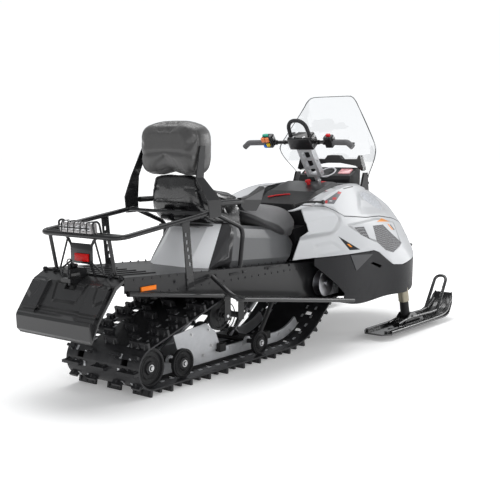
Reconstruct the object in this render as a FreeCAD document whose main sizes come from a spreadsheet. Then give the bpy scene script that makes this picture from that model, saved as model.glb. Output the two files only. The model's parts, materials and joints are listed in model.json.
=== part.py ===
import FreeCAD, Part
import math
import os
import re
import Sketcher
from FreeCAD import Placement, Rotation, Vector

# Stations are millimetres forward of the rear idler axle, half widths run out from the
# centre plane and heights rise from the floor. Every sub-part is then set back so that
# the middle of the snowmobile stands over the origin.
DRIVING = {
    "flap_reach": 400,
    "ski_tip_reach": 2690,
    "gap": 4,
    "seat_gap": 0.3,
    "run": 0.05,
    "sheet": 3,
    "tube": 12,
    # Track loop and the wheels that fill it
    "track_half": 250,
    "belt": 8,
    "lug": 30,
    "lug_thick": 14,
    "lug_rows": 54,
    "idler_radius": 97,
    "second_radius": 74,
    "front_radius": 66,
    "carrier_radius": 80,
    "sprocket_radius": 80,
    "second_station": 236,
    "front_station": 866,
    "carrier_station": 517,
    "carrier_height": 312,
    "drive_station": 1545,
    "drive_height": 360,
    "rail_bend": 430,
    "rail_bend_station": 1120,
    "wheel_out": 214,
    "wheel_in": 92,
    "wheel_width": 26,
    "axle_radius": 12,
    "window_out": 150,
    "window_wide": 44,
    "rail_out": 128,
    "rail_thick": 12,
    "rail_deep": 58,
    "slider": 12,
    # Suspension arms
    "arm_front": 1235,
    "arm_front_high": 398,
    "arm_front_low": 1010,
    "arm_rear": 628,
    "arm_rear_high": 300,
    "arm_rear_low": 330,
    "arm_low_high": 84,
    "arm_rod": 16,
    "shock_radius": 22,
    "spring_radius": 36,
    # Tunnel, running boards and deck
    "tunnel_half": 275,
    "deck_rear": -210,
    "deck_rise": 117,
    "deck_fall": 0.0548,
    "deck_front": 1715,
    "board_drop": 73,
    "board_fall": 0.142,
    "board_start": 341,
    "board_floor_start": 471,
    "board_end": 1430,
    "board_edge": 455,
    "board_tube_out": 470,
    "rib_count": 7,
    "rib_space": 64,
    "rib_wide": 14,
    "rib_high": 4,
    "rib_end": 70,
    "tooth": 42,
    "tooth_high": 14,
    # Snow flap and hitch
    "flap_half": 274,
    "flap_wall": 8,
    "flap_lip_drop": 189,
    "flap_low_drop": 279,
    "hitch_bore": 8,
    "hitch_half": 32,
    # Rack and what it carries
    "rack_half": 272,
    "rack_rear": -231,
    "rack_front": 400,
    "rack_rear_rise": 174,
    "rack_front_rise": 288,
    "frame_foot": 620,
    "post_thick": 5,
    "lamp_half": 105,
    "lamp_high": 46,
    # Seats and their base
    "seat_half": 195,
    "base_half": 230,
    "cowl_start": 85,
    "insert_start": 377,
    "insert_end": 600,
    "base_end": 1198,
    "handle_radius": 15,
    "guard_thick": 26,
    "pad_half": 192,
    "pad_rise": 210,
    "pad_tall": 230,
    "pad_rear": 362,
    "pad_deep": 158,
    "arm_thick": 6,
    # Nose
    "hood_wall": 5,
    "cockpit_half": 235,
    "cockpit_front": 1805,
    "fascia_station": 2296,
    "hinge_station": 2284,
    "hinge_half": 337.4,
    "hinge_high": 600.5,
    "hinge_lean": 30,
    "hinge_pin": 4,
    "pulley_radius": 74,
    "pulley_station": 1350,
    "pulley_height": 385,
    # Steering
    "riser_station": 1737,
    "riser_height": 994,
    "riser_long": 221,
    "riser_half": 52,
    "riser_deep": 40,
    "riser_hole": 44,
    "steer_lean": 36,
    "post_radius": 15,
    "grip_out": 394,
    "grip_radius": 17,
    "bar_radius": 11,
    "clamp_high": 50,
    "loop_rise": 184,
    # Windshield
    "screen_bend": 600,
    "screen_wall": 4,
    "screen_lean": 8,
    "screen_front": 1993,
    "screen_low": 880,
    "screen_tall": 610,
    "screen_low_half": 200,
    "screen_hip_half": 271,
    "screen_mid_half": 361,
    "screen_top_half": 187,
    "visor_deep": 34,
    "visor_half": 250,
    # Front struts and skis
    "ski_out": 450,
    "ski_half": 98,
    "ski_tail": 1700,
    "ski_bend": 240,
    "ski_bend_angle": 64,
    "ski_floor": 36,
    "ski_thick": 9,
    "ski_rib_out": 66,
    "ski_rib_wide": 20,
    "ski_rib_high": 16,
    "ski_pin_station": 2135,
    "ski_pin_height": 92,
    "ski_pin": 8,
    "rake": 14,
    "strut_radius": 29,
    "strut_station": 2088,
    "strut_low": 196,
    "strut_long": 170,
    "sleeve_wall": 5,
}

# Cross-sections of the nose, from the rear edge of the side panels to the front: the
# station, then half width and height at each of its lines from the ridge to the keel.
NOSE_LINES = ("ridge", "shoulder", "crease", "waist", "sill", "keel")
NOSE = {
    "tail": (1040, 262, 825, 322, 838, 332, 745, 322, 665, 300, 535, 296, 470),
    "knee": (1270, 262, 850, 332, 868, 372, 775, 372, 675, 372, 528, 366, 340),
    "hip": (1450, 255, 905, 325, 918, 386, 778, 402, 716, 420, 555, 412, 262),
    "dash": (1700, 245, 945, 305, 938, 386, 755, 402, 712, 448, 556, 440, 250),
    "brow": (1900, 215, 935, 272, 908, 362, 750, 384, 705, 474, 448, 466, 262),
    "cheek": (2120, 170, 880, 240, 840, 330, 722, 366, 665, 480, 462, 476, 268),
    "lamp": (2300, 140, 812, 212, 775, 292, 680, 342, 600, 398, 496, 394, 310),
    "chin": (2440, 115, 740, 182, 705, 240, 630, 275, 560, 300, 520, 292, 352),
    "tip": (2570, 80, 655, 120, 630, 145, 575, 160, 530, 165, 500, 150, 400),
}

# Outlines seen from the side, as station and height
HOOD_SEAM = ((900, 838), (1200, 842), (1300, 836), (1380, 806), (1450, 772), (1700, 749),
             (1900, 744), (2120, 716), (2300, 674), (2440, 624), (2700, 540))
PAN_SEAM = ((900, 540), (1204, 548), (1430, 550), (1700, 553), (1760, 535), (1900, 449),
            (1990, 441), (2120, 462), (2300, 492), (2440, 516), (2700, 516))
PANEL_REAR = ((1094, 900), (1094, 838), (1110, 762), (1143, 703), (1085, 673), (1055, 549), (1055, 400))
GRILLES = (
    ((1528, 702), (1640, 698), (1679, 622), (1588, 653)),
    ((1757, 695), (1906, 692), (2085, 566), (1935, 519), (1853, 540), (1760, 598)),
)
HEADLAMP = ((1722, 886), (1795, 899), (2020, 862), (2060, 800), (1989, 774), (1892, 799), (1775, 846))
PAN_VENT = ((1668, 478), (1696, 484), (1786, 454), (1768, 440))
PAN_FACET = ((1466, 545), (1679, 542), (1524, 449))
TOE_GUARD_LOW = ((1204, 505), (1345, 398), (1430, 325))


doc = FreeCAD.newDocument("snowmobile")
sheet = doc.addObject("Spreadsheet::Sheet", "Sizes")


def fill_sheet():
    """Put each driving dimension and each nose section into a cell with its name."""
    cells = dict(DRIVING)
    for station, numbers in NOSE.items():
        cells[station + "_station"] = numbers[0]
        for index, part in enumerate(NOSE_LINES):
            cells[f"{station}_{part}_half"] = numbers[1 + 2 * index]
            cells[f"{station}_{part}_high"] = numbers[2 + 2 * index]
    for row, (name, value) in enumerate(cells.items(), start=1):
        sheet.set(f"A{row}", name)
        sheet.set(f"B{row}", str(value))
        sheet.setAlias(f"B{row}", name)
    doc.recompute()
    return frozenset(cells)


WORDS = fill_sheet()
sub_parts = []


def bound(text):
    """An expression over the sheet, from one over the bare names."""
    return re.sub(r"[a-z_]+", lambda m: "Sizes." + m.group() if m.group() in WORDS else m.group(), str(text))


def size(text):
    """The present value of an expression over the sheet's names."""
    reader = doc.getObject("Reader") or doc.addObject("App::FeaturePython", "Reader")
    return float(reader.evalExpression(bound(text)))


def place(item, x="0", y="0", z="0", turn=None, axis=(0, 1, 0)):
    """Bind an object's position, and its turn about an axis, to the sheet."""
    if turn is not None:
        item.Placement = Placement(Vector(), Rotation(Vector(*axis), 1))
        item.setExpression("Placement.Rotation.Angle", bound(turn))
    item.setExpression("Placement.Base.x", bound(x))
    item.setExpression("Placement.Base.y", bound(y))
    item.setExpression("Placement.Base.z", bound(z))
    return item


PLANES = {
    "side": (Rotation(Vector(1, 0, 0), 90), "y", Vector(0, 1, 0)),
    "front": (Rotation(Vector(1, 1, 1), 120), "x", Vector(1, 0, 0)),
    "plan": (Rotation(), "z", Vector(0, 0, 1)),
}


def outline(name, plane, at, points):
    """A closed sketch on a side, front or plan plane, every corner bound to the sheet."""
    turn, along, _ = PLANES[plane]
    sketch = doc.addObject("Sketcher::SketchObject", name + "_outline")
    sketch.Placement = Placement(Vector(), turn)
    sketch.setExpression("Placement.Base." + along, bound(at))
    corners = [Vector(size(u), size(v), 0) for u, v in points]
    count = len(corners)
    for i in range(count):
        sketch.addGeometry(Part.LineSegment(corners[i], corners[(i + 1) % count]))
    for i in range(count):
        sketch.addConstraint(Sketcher.Constraint("Coincident", i, 2, (i + 1) % count, 1))
    for i, (u, v) in enumerate(points):
        across = sketch.addConstraint(Sketcher.Constraint("DistanceX", i, 1, corners[i].x))
        upward = sketch.addConstraint(Sketcher.Constraint("DistanceY", i, 1, corners[i].y))
        sketch.setExpression(f"Constraints[{across}]", bound(u))
        sketch.setExpression(f"Constraints[{upward}]", bound(v))
    return sketch


def plate(name, plane, low, deep, points):
    """An outline given a thickness, from one plane along its normal."""
    item = doc.addObject("Part::Extrusion", name)
    item.Base = outline(name, plane, low, points)
    item.DirMode = "Custom"
    item.Dir = PLANES[plane][2]
    item.setExpression("LengthFwd", bound(deep))
    item.Solid = True
    return item


def loft(name, plane, sections, ruled=True):
    """A skin drawn over outlines on parallel planes."""
    item = doc.addObject("Part::Loft", name)
    item.Sections = [outline(f"{name}_{i}", plane, at, points) for i, (at, points) in enumerate(sections)]
    item.Solid = True
    item.Ruled = ruled
    return item


def box(name, x, y, z, wide, across, high):
    """A block by its low corner and its three lengths."""
    item = doc.addObject("Part::Box", name)
    item.setExpression("Length", bound(wide))
    item.setExpression("Width", bound(across))
    item.setExpression("Height", bound(high))
    return place(item, x, y, z)


def rod(name, radius, length, x, y, z, axis="y"):
    """A straight round bar that starts at a point and runs along an axis."""
    item = doc.addObject("Part::Cylinder", name)
    item.setExpression("Radius", bound(radius))
    item.setExpression("Height", bound(length))
    if axis == "y":
        item.Placement = Placement(Vector(), Rotation(Vector(1, 0, 0), -90))
    if axis == "x":
        item.Placement = Placement(Vector(), Rotation(Vector(0, 1, 0), 90))
    return place(item, x, y, z)


def fuse(name, *items):
    item = doc.addObject("Part::MultiFuse", name)
    item.Shapes = list(items)
    return item


def group(name, *items):
    item = doc.addObject("Part::Compound", name)
    item.Links = list(items)
    return item


def cut(name, base, tool):
    item = doc.addObject("Part::Cut", name)
    item.Base = base
    item.Tool = tool
    return item


def common(name, base, tool):
    item = doc.addObject("Part::Common", name)
    item.Base = base
    item.Tool = tool
    return item


def mirror(name, source):
    item = doc.addObject("Part::Mirroring", name)
    item.Source = source
    item.Normal = Vector(0, 1, 0)
    return item


def sub_part(name, *items):
    """One named piece of the snowmobile, set back over the origin."""
    item = group(name, *items)
    item.Label = name
    item.setExpression("Placement.Base.x", bound("(flap_reach - ski_tip_reach) / 2"))
    sub_parts.append(item)
    return item


def shaped(name, shape):
    """A piece whose form comes from wires that no sketch plane holds."""
    item = doc.addObject("Part::Feature", name)
    item.Shape = shape
    return item


def tube(name, radius, points, bend=40):
    """A round tube: straight runs joined by tangent arcs of one radius, or less on short runs."""
    corners = [Vector(*(size(c) for c in p)) for p in points]
    thick = size(radius)
    pieces = []
    start = corners[0]
    for before, corner, after in zip(corners, corners[1:], corners[2:]):
        back = (before - corner).normalize()
        ahead = (after - corner).normalize()
        half = back.getAngle(ahead) / 2
        reach = min(bend / math.tan(half), 0.45 * (before - corner).Length, 0.45 * (after - corner).Length)
        first = corner + back * reach
        centre = corner + (back + ahead).normalize() * (reach / math.cos(half))
        ring = Part.Face(Part.Wire([Part.Circle(first, back, thick).toShape()]))
        pieces.append(Part.makeCylinder(thick, (first - start).Length, start, first - start))
        pieces.append(ring.revolve(centre, ahead.cross(back), 180 - math.degrees(2 * half)))
        start = corner + ahead * reach
    pieces.append(Part.makeCylinder(thick, (corners[-1] - start).Length, start, corners[-1] - start))
    return shaped(name, pieces[0].multiFuse(pieces[1:]) if len(pieces) > 1 else pieces[0])


# Heights that follow the deck, which itself clears the track
TRACK_TOP = "(drive_height + sprocket_radius + belt + lug)"
DECK_REAR = f"({TRACK_TOP} + deck_rise)"


def deck(x, above="0"):
    """Height of the deck's top at a station."""
    return f"({DECK_REAR} - deck_fall * (({x}) - (deck_rear)) + ({above}))"


def board(x, above="0"):
    """Height of the running board at a station."""
    return f"({DECK_REAR} - board_drop - board_fall * (({x}) - (deck_rear)) + ({above}))"


RACK_REAR_HIGH = f"({DECK_REAR} + rack_rear_rise)"
RACK_FRONT_HIGH = f"({deck('rack_front')} + rack_front_rise)"
PAD_LOW = f"({RACK_FRONT_HIGH} + pad_rise)"


def rack(x, above="0"):
    """Height of the rack's side rail at a station."""
    return (f"({RACK_REAR_HIGH} + ({RACK_FRONT_HIGH} - {RACK_REAR_HIGH}) * (({x}) - (rack_rear))"
            f" / (rack_front - (rack_rear)) + ({above}))")


def from_points(line, plus=()):
    """Outline corners from a table of stations and heights, with further corners."""
    return tuple((str(x), str(z)) for x, z in line) + tuple(plus)


def turned(name, profile, x, y, z):
    """A wheel-like solid: a half section of radius and offset, spun about the cross axis."""
    spun = doc.addObject("Part::Revolution", name)
    spun.Source = outline(name, "plan", "0", profile)
    spun.Axis = Vector(0, 1, 0)
    spun.Base = Vector(0, 0, 0)
    spun.Angle = 360
    spun.Solid = True
    return place(spun, x, y, z)


# Track
def loop_circles():
    """The circles that the belt's inner face lies on, rear wheel first, counterclockwise."""
    ground = size("belt + lug")
    return (
        (0, size("idler_radius") + ground, size("idler_radius")),
        (size("rail_bend_station"), size("rail_bend") + ground, size("rail_bend")),
        (size("drive_station"), size("drive_height"), size("sprocket_radius")),
        (size("carrier_station"), size("carrier_height"), size("carrier_radius")),
    )


def loop_spans(grow):
    """Arc and line spans of the belt's path, grown outward from its inner face."""
    circles = [(x, z, r + grow) for x, z, r in loop_circles()]
    tangents = []
    for (xa, za, ra), (xb, zb, rb) in zip(circles, circles[1:] + circles[:1]):
        heading = math.atan2(zb - za, xb - xa)
        tilt = math.asin((ra - rb) / math.hypot(xb - xa, zb - za))
        normal = heading - math.pi / 2 + tilt
        tangents.append(normal)
    spans = []
    for i, (x, z, r) in enumerate(circles):
        arrive = tangents[i - 1]
        leave = tangents[i]
        while leave < arrive:
            leave += 2 * math.pi
        spans.append((x, z, r, arrive, leave))
    return spans


def loop_face(grow):
    """The flat face inside the belt's path, on the centre plane."""
    spans = loop_spans(grow)
    edges = []
    for i, (x, z, r, arrive, leave) in enumerate(spans):
        at = [Vector(x + r * math.cos(a), 0, z + r * math.sin(a)) for a in (arrive, (arrive + leave) / 2, leave)]
        edges.append(Part.Arc(*at).toShape())
        nx, nz, nr, following, _ = spans[(i + 1) % len(spans)]
        onward = Vector(nx + nr * math.cos(following), 0, nz + nr * math.sin(following))
        edges.append(Part.LineSegment(at[2], onward).toShape())
    return Part.Face(Part.Wire(edges))


def loop_places(rows):
    """Evenly spaced places along the belt's outer face: point and outward angle."""
    spans = loop_spans(size("belt"))
    pieces = []
    for i, (x, z, r, arrive, leave) in enumerate(spans):
        nx, nz, nr, following, _ = spans[(i + 1) % len(spans)]
        start = (x + r * math.cos(leave), z + r * math.sin(leave))
        end = (nx + nr * math.cos(following), nz + nr * math.sin(following))
        pieces.append(("arc", r * (leave - arrive), (x, z, r, arrive)))
        pieces.append(("line", math.dist(start, end), (start, end, leave)))
    pitch = sum(length for _, length, _ in pieces) / rows
    places = []
    travelled = 0
    target = 0
    for kind, length, data in pieces:
        while target < travelled + length - 1e-6 and len(places) < rows:
            along = target - travelled
            if kind == "arc":
                x, z, r, arrive = data
                angle = arrive + along / r
                places.append((x + r * math.cos(angle), z + r * math.sin(angle), angle))
            else:
                (xa, za), (xb, zb), angle = data
                share = along / length
                places.append((xa + (xb - xa) * share, za + (zb - za) * share, angle))
            target += pitch
        travelled += length
    return places


def make_track():
    """The rubber belt with its drive windows and three rows of lugs."""
    half = size("track_half")
    depth = Vector(0, 2 * half, 0)
    ring = loop_face(size("belt")).cut(loop_face(0))
    ring.translate(Vector(0, -half, 0))
    belt = ring.extrude(depth)
    lug = size("lug")
    thick = size("lug_thick")
    sunk = 2
    wide = size("window_wide")
    lugs = []
    windows = []
    even = ((-half, 120), (half - 120, 120), (-45, 90))
    odd = ((-half + 8, 52), (half - 60, 52), (-118, 62), (56, 62))
    for row, (x, z, angle) in enumerate(loop_places(int(size("lug_rows")))):
        turn = Rotation(Vector(0, 1, 0), -math.degrees(angle))
        here = Placement(Vector(x, 0, z), turn)
        high = lug if row % 2 == 0 else 0.72 * lug
        for side, across in even if row % 2 == 0 else odd:
            item = Part.makeBox(high + sunk, across, thick, Vector(-sunk, side, -thick / 2))
            item.Placement = here
            lugs.append(item)
    track = belt.fuse(lugs)
    for x, z, angle in loop_places(int(size("lug_rows")))[1::2]:
        here = Placement(Vector(x, 0, z), Rotation(Vector(0, 1, 0), -math.degrees(angle)))
        for side in (-size("window_out") - wide / 2, size("window_out") - wide / 2):
            item = Part.makeBox(40, wide, 30, Vector(-20, side, 12))
            item.Placement = here
            windows.append(item)
    return shaped("track_loop", track.cut(windows).removeSplitter())


sub_part("track", make_track())

# Skid frame
ground = "(belt + lug)"


def wheel(name, radius, x, y, z):
    """A dished wheel with a hub and a grooved rubber rim."""
    half = "wheel_width / 2"
    hub = "axle_radius * 2.4"
    web = "wheel_width * 0.15"
    profile = (
        ("axle_radius", f"-{half}"), (hub, f"-{half}"), (f"{hub} + 5", f"-{web}"),
        (f"{radius} - 16", f"-{web}"), (f"{radius} - 12", f"2 - {half}"), (radius, f"4 - {half}"),
        (radius, f"{half} - 4"), (f"{radius} - 12", f"{half} - 2"), (f"{radius} - 16", web),
        (f"{hub} + 5", web), (hub, half), ("axle_radius", half),
    )
    return turned(name, profile, x, y, z)


AXLES = (
    ("rear_idler", "idler_radius", "0", f"(idler_radius + {ground})", ("wheel_out", "wheel_in")),
    ("second_idler", "second_radius", "second_station", f"(second_radius + {ground})", ("wheel_out",)),
    ("front_idler", "front_radius", "front_station", f"(front_radius + {ground})", ("wheel_out",)),
    ("carrier", "carrier_radius", "carrier_station", "carrier_height", ("wheel_out",)),
)
for title, radius, x, z, places in AXLES:
    wheels = []
    for number, offset in enumerate(places):
        for sign in ("-", ""):
            y = f"{sign}{offset}"
            wheels.append(wheel(f"{title}_{number}{'r' if sign else 'l'}", f"({radius} - seat_gap)", x, y, z))
    reach = "(tunnel_half - sheet)" if title == "carrier" else "(wheel_out + wheel_width / 2 + 6)"
    axle = rod(f"{title}_axle", "axle_radius", f"2 * {reach}", x, f"0 - {reach}", z)
    sub_part(f"{title}_wheels", fuse(f"{title}_set", axle, *wheels))


def bent_strip(name, high, deep, wide, middle, start, turn_at, bend, sweep):
    """A flat strip with its front end bent up round a radius, as a ski or a rail is."""
    outer = doc.addObject("Part::Cylinder", name + "_outer")
    inner = doc.addObject("Part::Cylinder", name + "_inner")
    for item, radius in ((outer, f"{bend} - ({high})"), (inner, f"{bend} - ({high}) - ({deep})")):
        item.setExpression("Radius", bound(radius))
        item.setExpression("Height", bound(wide))
        item.setExpression("Angle", bound(sweep))
        turn = Rotation(Vector(0, 1, 0), 90).multiply(Rotation(Vector(1, 0, 0), 90))
        item.Placement = Placement(Vector(), turn)
        place(item, turn_at, f"{middle} + ({wide}) / 2", bend)
    foot = box(name + "_foot", start, f"{middle} - ({wide}) / 2", high, f"{turn_at} - ({start}) + 1", wide, deep)
    return fuse(name, foot, cut(name + "_bend", outer, inner))


def make_rail():
    """A slide rail with a raised heel, and a boss and a bore at each wheel axle."""
    low = f"({ground} + slider + 2 * seat_gap)"
    start = "0 - rail_out - rail_thick / 2"
    parts = [bent_strip("rail", low, "rail_deep", "rail_thick", "0 - rail_out", "0",
                        "rail_bend_station", f"(rail_bend + {ground})", "34")]
    heel_top = f"(idler_radius + {ground})"
    parts.append(plate("rail_heel", "side", start, "rail_thick", (
        ("10", low), ("110", low), ("40", f"{heel_top} + 18"), ("0 - 20", f"{heel_top} + 12"),
        ("0 - 20", f"{heel_top} - 20"))))
    bores = []
    for title, _, x, z, _ in AXLES[:3]:
        parts.append(rod(f"{title}_boss", "axle_radius * 2.2", "rail_thick", x, start, z))
        bores.append(rod(f"{title}_bore", "axle_radius + seat_gap", "3 * rail_thick", x, start + " - rail_thick", z))
    return cut("rail_bored", fuse("rail_bossed", *parts), fuse("rail_bores", *bores))


rail = make_rail()
slide = bent_strip("slide", f"({ground} + seat_gap)", "slider", "rail_thick", "0 - rail_out", "0",
                   "rail_bend_station", f"(rail_bend + {ground})", "34")
doc.recompute()
sub_part("slide_rails", rail, mirror("rail_left", rail))
sub_part("rail_sliders", slide, mirror("slide_left", slide))


def make_sprocket(name, y):
    """A toothed disc that drives the belt, its teeth left between notches."""
    disc = rod(f"{name}_disc", "sprocket_radius - seat_gap", "24", "drive_station", f"{y} - 12", "drive_height")
    notches = []
    for index in range(9):
        notch = doc.addObject("Part::Box", f"{name}_notch_{index}")
        notch.Length = 30
        notch.Width = 30
        notch.Height = 26
        turn = math.radians(40 * index)
        notch.Placement = Placement(Vector(), Rotation(Vector(0, 1, 0), 40 * index))
        across, upward = math.cos(turn), math.sin(turn)
        notches.append(place(notch, f"drive_station + (sprocket_radius - 14) * ({across:.4f}) - 13 * ({upward:.4f})",
                             f"{y} - 15", f"drive_height - (sprocket_radius - 14) * ({upward:.4f}) - 13 * ({across:.4f})"))
    return cut(name, disc, fuse(f"{name}_notches", *notches))


drive_shaft = rod("drive_shaft", "axle_radius * 1.3", "2 * (tunnel_half - sheet - seat_gap)",
                  "drive_station", "sheet + seat_gap - tunnel_half", "drive_height")
sub_part("drive_axle", fuse("drive_set", drive_shaft, make_sprocket("sprocket_right", "0 - window_out"),
                            make_sprocket("sprocket_left", "window_out")))

# Suspension arms and shock absorbers inside the track
ARMS = (
    ("front_arm", "arm_front_low", "arm_front", "arm_front_high"),
    ("rear_arm", "arm_rear_low", "arm_rear", "arm_rear_high"),
)
arm_sets = []
for title, low, high, height in ARMS:
    inside = "(rail_out - rail_thick / 2 - seat_gap)"
    arms = [
        rod(f"{title}_low", "arm_rod", f"2 * {inside}", low, f"0 - {inside}", "arm_low_high"),
        rod(f"{title}_high", "arm_rod", "2 * (tunnel_half - sheet)", high, "sheet - tunnel_half", height),
    ]
    for side in (-1, 1):
        ends = ((low, f"{side} * wheel_in", "arm_low_high"), (high, f"{side} * wheel_in", height))
        arms.append(tube(f"{title}_{side + 1}", "arm_rod - 3", ends))
    arm_sets.append(fuse(f"{title}_set", *arms))
sub_part("suspension_arms", *arm_sets)


def make_shock(name, low_x, low_z, low_r, high_x, high_z, high_r):
    """A shock absorber from one cross shaft to another, its piston at the low end."""
    start = Vector(size(low_x), 0, size(low_z))
    reach = Vector(size(high_x), 0, size(high_z)) - start
    along = Vector(reach).normalize()
    first = start + along * (size(low_r) + size("seat_gap"))
    length = reach.Length - size(low_r) - size(high_r) - 2 * size("seat_gap")
    body = Part.makeCylinder(size("shock_radius"), 0.55 * length, first + along * 0.45 * length, along)
    piston = Part.makeCylinder(size("shock_radius / 3"), 0.5 * length, first, along)
    seat = Part.makeCylinder(size("spring_radius"), 5, first + along * 0.08 * length, along)
    collar = Part.makeCylinder(size("spring_radius"), 6, first + along * 0.78 * length, along)
    return shaped(name, body.fuse([piston, seat, collar]))


sub_part(
    "shock_absorbers",
    make_shock("front_shock", "front_station", AXLES[2][3], "axle_radius", "arm_front", "arm_front_high", "arm_rod"),
    make_shock("rear_shock", "second_station", AXLES[1][3], "axle_radius", "arm_rear", "arm_rear_high", "arm_rod"),
)

# Tunnel: a folded shell with ears for the carrier axle and the rear arm
EAR = "(axle_radius * 2)"
DASH_FLOOR = "(dash_keel_high + hood_wall + 1)"


def tunnel_outline(low, high):
    """The tunnel's side, as one outline between its low edge and its deck."""
    return (
        ("deck_rear", low("deck_rear")),
        (f"carrier_station - {EAR}", low(f"carrier_station - {EAR}")),
        (f"carrier_station - {EAR}", f"carrier_height - {EAR}"),
        (f"carrier_station + {EAR}", f"carrier_height - {EAR}"),
        (f"carrier_station + {EAR}", low(f"carrier_station + {EAR}")),
        (f"arm_rear - {EAR}", low(f"arm_rear - {EAR}")),
        (f"arm_rear - {EAR}", f"arm_rear_high - {EAR}"),
        (f"arm_rear + {EAR}", f"arm_rear_high - {EAR}"),
        (f"arm_rear + {EAR}", low(f"arm_rear + {EAR}")),
        ("board_end", low("board_end")),
        ("deck_front", DASH_FLOOR),
        ("deck_front", high("deck_front")),
        ("deck_rear", high("deck_rear")),
    )


tunnel_outer = plate("tunnel_outer", "side", "0 - tunnel_half", "2 * tunnel_half", tunnel_outline(board, deck))
tunnel_inner = plate("tunnel_inner", "side", "sheet - tunnel_half", "2 * (tunnel_half - sheet)", (
    ("deck_rear - 10", "0"),
    ("deck_front + 10", "0"),
    ("deck_front + 10", deck("deck_front + 10", "0 - sheet")),
    ("deck_rear - 10", deck("deck_rear - 10", "0 - sheet")),
))
ribs = []
for index in range(int(DRIVING["rib_count"])):
    middle = f"({index - (DRIVING['rib_count'] - 1) / 2} * rib_space)"
    ribs.append(plate(f"rib_{index}", "side", f"{middle} - rib_wide / 2", "rib_wide", (
        ("deck_rear + 20", deck("deck_rear + 20", "0 - sheet / 2")),
        ("rib_end", deck("rib_end", "0 - sheet / 2")),
        ("rib_end", deck("rib_end", "rib_high")),
        ("deck_rear + 20", deck("deck_rear + 20", "rib_high")),
    )))
sub_part("tunnel", fuse("tunnel_ribbed", cut("tunnel_shell", tunnel_outer, tunnel_inner), *ribs))

# Running boards with a serrated edge, an edge tube and a tube along the tunnel
BESIDE = "(tunnel_half + tube + seat_gap)"


def make_board():
    """A board with a serrated outer edge and a tube along it."""
    floor = plate("board_floor", "side", "0 - board_edge", "board_edge - tunnel_half - seat_gap", (
        ("board_floor_start", board("board_floor_start", "0 - sheet")),
        ("board_end", board("board_end", "0 - sheet")),
        ("board_end", board("board_end")),
        ("board_floor_start", board("board_floor_start")),
    ))
    points = [("board_start + 20", board("board_start + 20", "0 - tube")),
              ("board_end", board("board_end", "0 - tube")),
              ("board_end", board("board_end", "sheet"))]
    count = int((DRIVING["board_end"] - DRIVING["board_start"] - 60) / DRIVING["tooth"])
    for index in range(count):
        valley = f"board_end - {index} * tooth - tooth * 0.9"
        peak = f"board_end - {index} * tooth - tooth * 0.4"
        points.append((peak, board(peak, "tooth_high")))
        points.append((valley, board(valley, "sheet")))
    points.append(("board_start + 20", board("board_start + 20", "sheet")))
    edge = plate("board_edge_strip", "side", "0 - board_edge - sheet", "sheet * 1.5", points)
    rail_tube = tube("board_tube", "tube", (
        ("board_start + 40", f"0 - {BESIDE}", deck("board_start + 40", "0 - 30")),
        ("board_start", "0 - board_tube_out", board("board_start")),
        ("board_end", "0 - board_tube_out", board("board_end")),
    ), 50)
    return fuse("board_set", floor, edge, rail_tube)


side_tube = tube("side_tube_right", "tube", (
    ("deck_rear + 10", f"0 - {BESIDE}", board("deck_rear + 10")),
    ("board_floor_start - 10", f"0 - {BESIDE}", board("board_floor_start - 10")),
))
board_right = make_board()
doc.recompute()
sub_part("running_board_right", board_right, side_tube)
sub_part("running_board_left", mirror("board_left", board_right), mirror("side_tube_left", side_tube))
reflector = box("reflector_right", "0 - 110", "0 - tunnel_half - seat_gap - 7", board("0 - 110", "tube + seat_gap"), "96", "7", "20")
sub_part("side_reflectors", reflector, mirror("reflector_left", reflector))

# Snow flap
FLAP_LIP = f"({DECK_REAR} - flap_lip_drop)"
FLAP_LOW = f"({DECK_REAR} - flap_low_drop)"
FLAP_BACK = "(0 - flap_reach)"
flap = plate("flap_sheet", "side", "0 - flap_half", "2 * flap_half", (
    ("deck_rear - seat_gap", f"{DECK_REAR} - 10"),
    ("deck_rear - 58", f"{DECK_REAR} - 40"),
    (f"{FLAP_BACK} + 26", FLAP_LIP),
    (f"{FLAP_BACK} + 14", FLAP_LOW),
    (f"{FLAP_BACK} + 14 + flap_wall", FLAP_LOW),
    (f"{FLAP_BACK} + 26 + flap_wall", f"{FLAP_LIP} - 3"),
    ("deck_rear - 54 + flap_wall", f"{DECK_REAR} - 52"),
    ("deck_rear - seat_gap", f"{DECK_REAR} - 24"),
))
flap_lip = plate("flap_lip", "side", "24 - flap_half", "2 * (flap_half - 24)", (
    (f"{FLAP_BACK} + 62", f"{FLAP_LIP} + 46"), (f"{FLAP_BACK} + 34", f"{FLAP_LIP} + 16"),
    (f"{FLAP_BACK} + 6", f"{FLAP_LIP} + 6"), (FLAP_BACK, f"{FLAP_LIP} - 8"),
    (f"{FLAP_BACK} + 3", f"{FLAP_LOW} + 18"), (f"{FLAP_BACK} + 12", f"{FLAP_LOW} + 6"),
    (f"{FLAP_BACK} + 24", f"{FLAP_LOW} + 6"), (f"{FLAP_BACK} + 36", f"{FLAP_LIP} - 10"),
))
flap_pods = []
for side in (-1, 1):
    flap_pods.append(plate(f"flap_pod_{side + 1}", "side", f"{side} * (flap_half - 72) - 56", "112", (
        ("deck_rear - 30", f"{DECK_REAR} - 34"), ("deck_rear - 80", f"{DECK_REAR} - 44"),
        (f"{FLAP_BACK} + 12", f"{FLAP_LIP} + 4"), (f"{FLAP_BACK} + 40", f"{FLAP_LIP}"))))
flap_front = plate("flap_corners", "front", "deck_rear - 400", "500", (
    ("0 - flap_half", f"{DECK_REAR} + 10"), ("flap_half", f"{DECK_REAR} + 10"),
    ("flap_half", f"{FLAP_LIP} - 10"), ("flap_half - 34", f"{FLAP_LOW} - 5"),
    ("34 - flap_half", f"{FLAP_LOW} - 5"), ("0 - flap_half", f"{FLAP_LIP} - 10")))
flap_notch = box("flap_notch", "deck_rear - 110", "0 - hitch_half - 5", f"{DECK_REAR} - 70", "140",
                 "2 * (hitch_half + 5)", "120")
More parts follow.
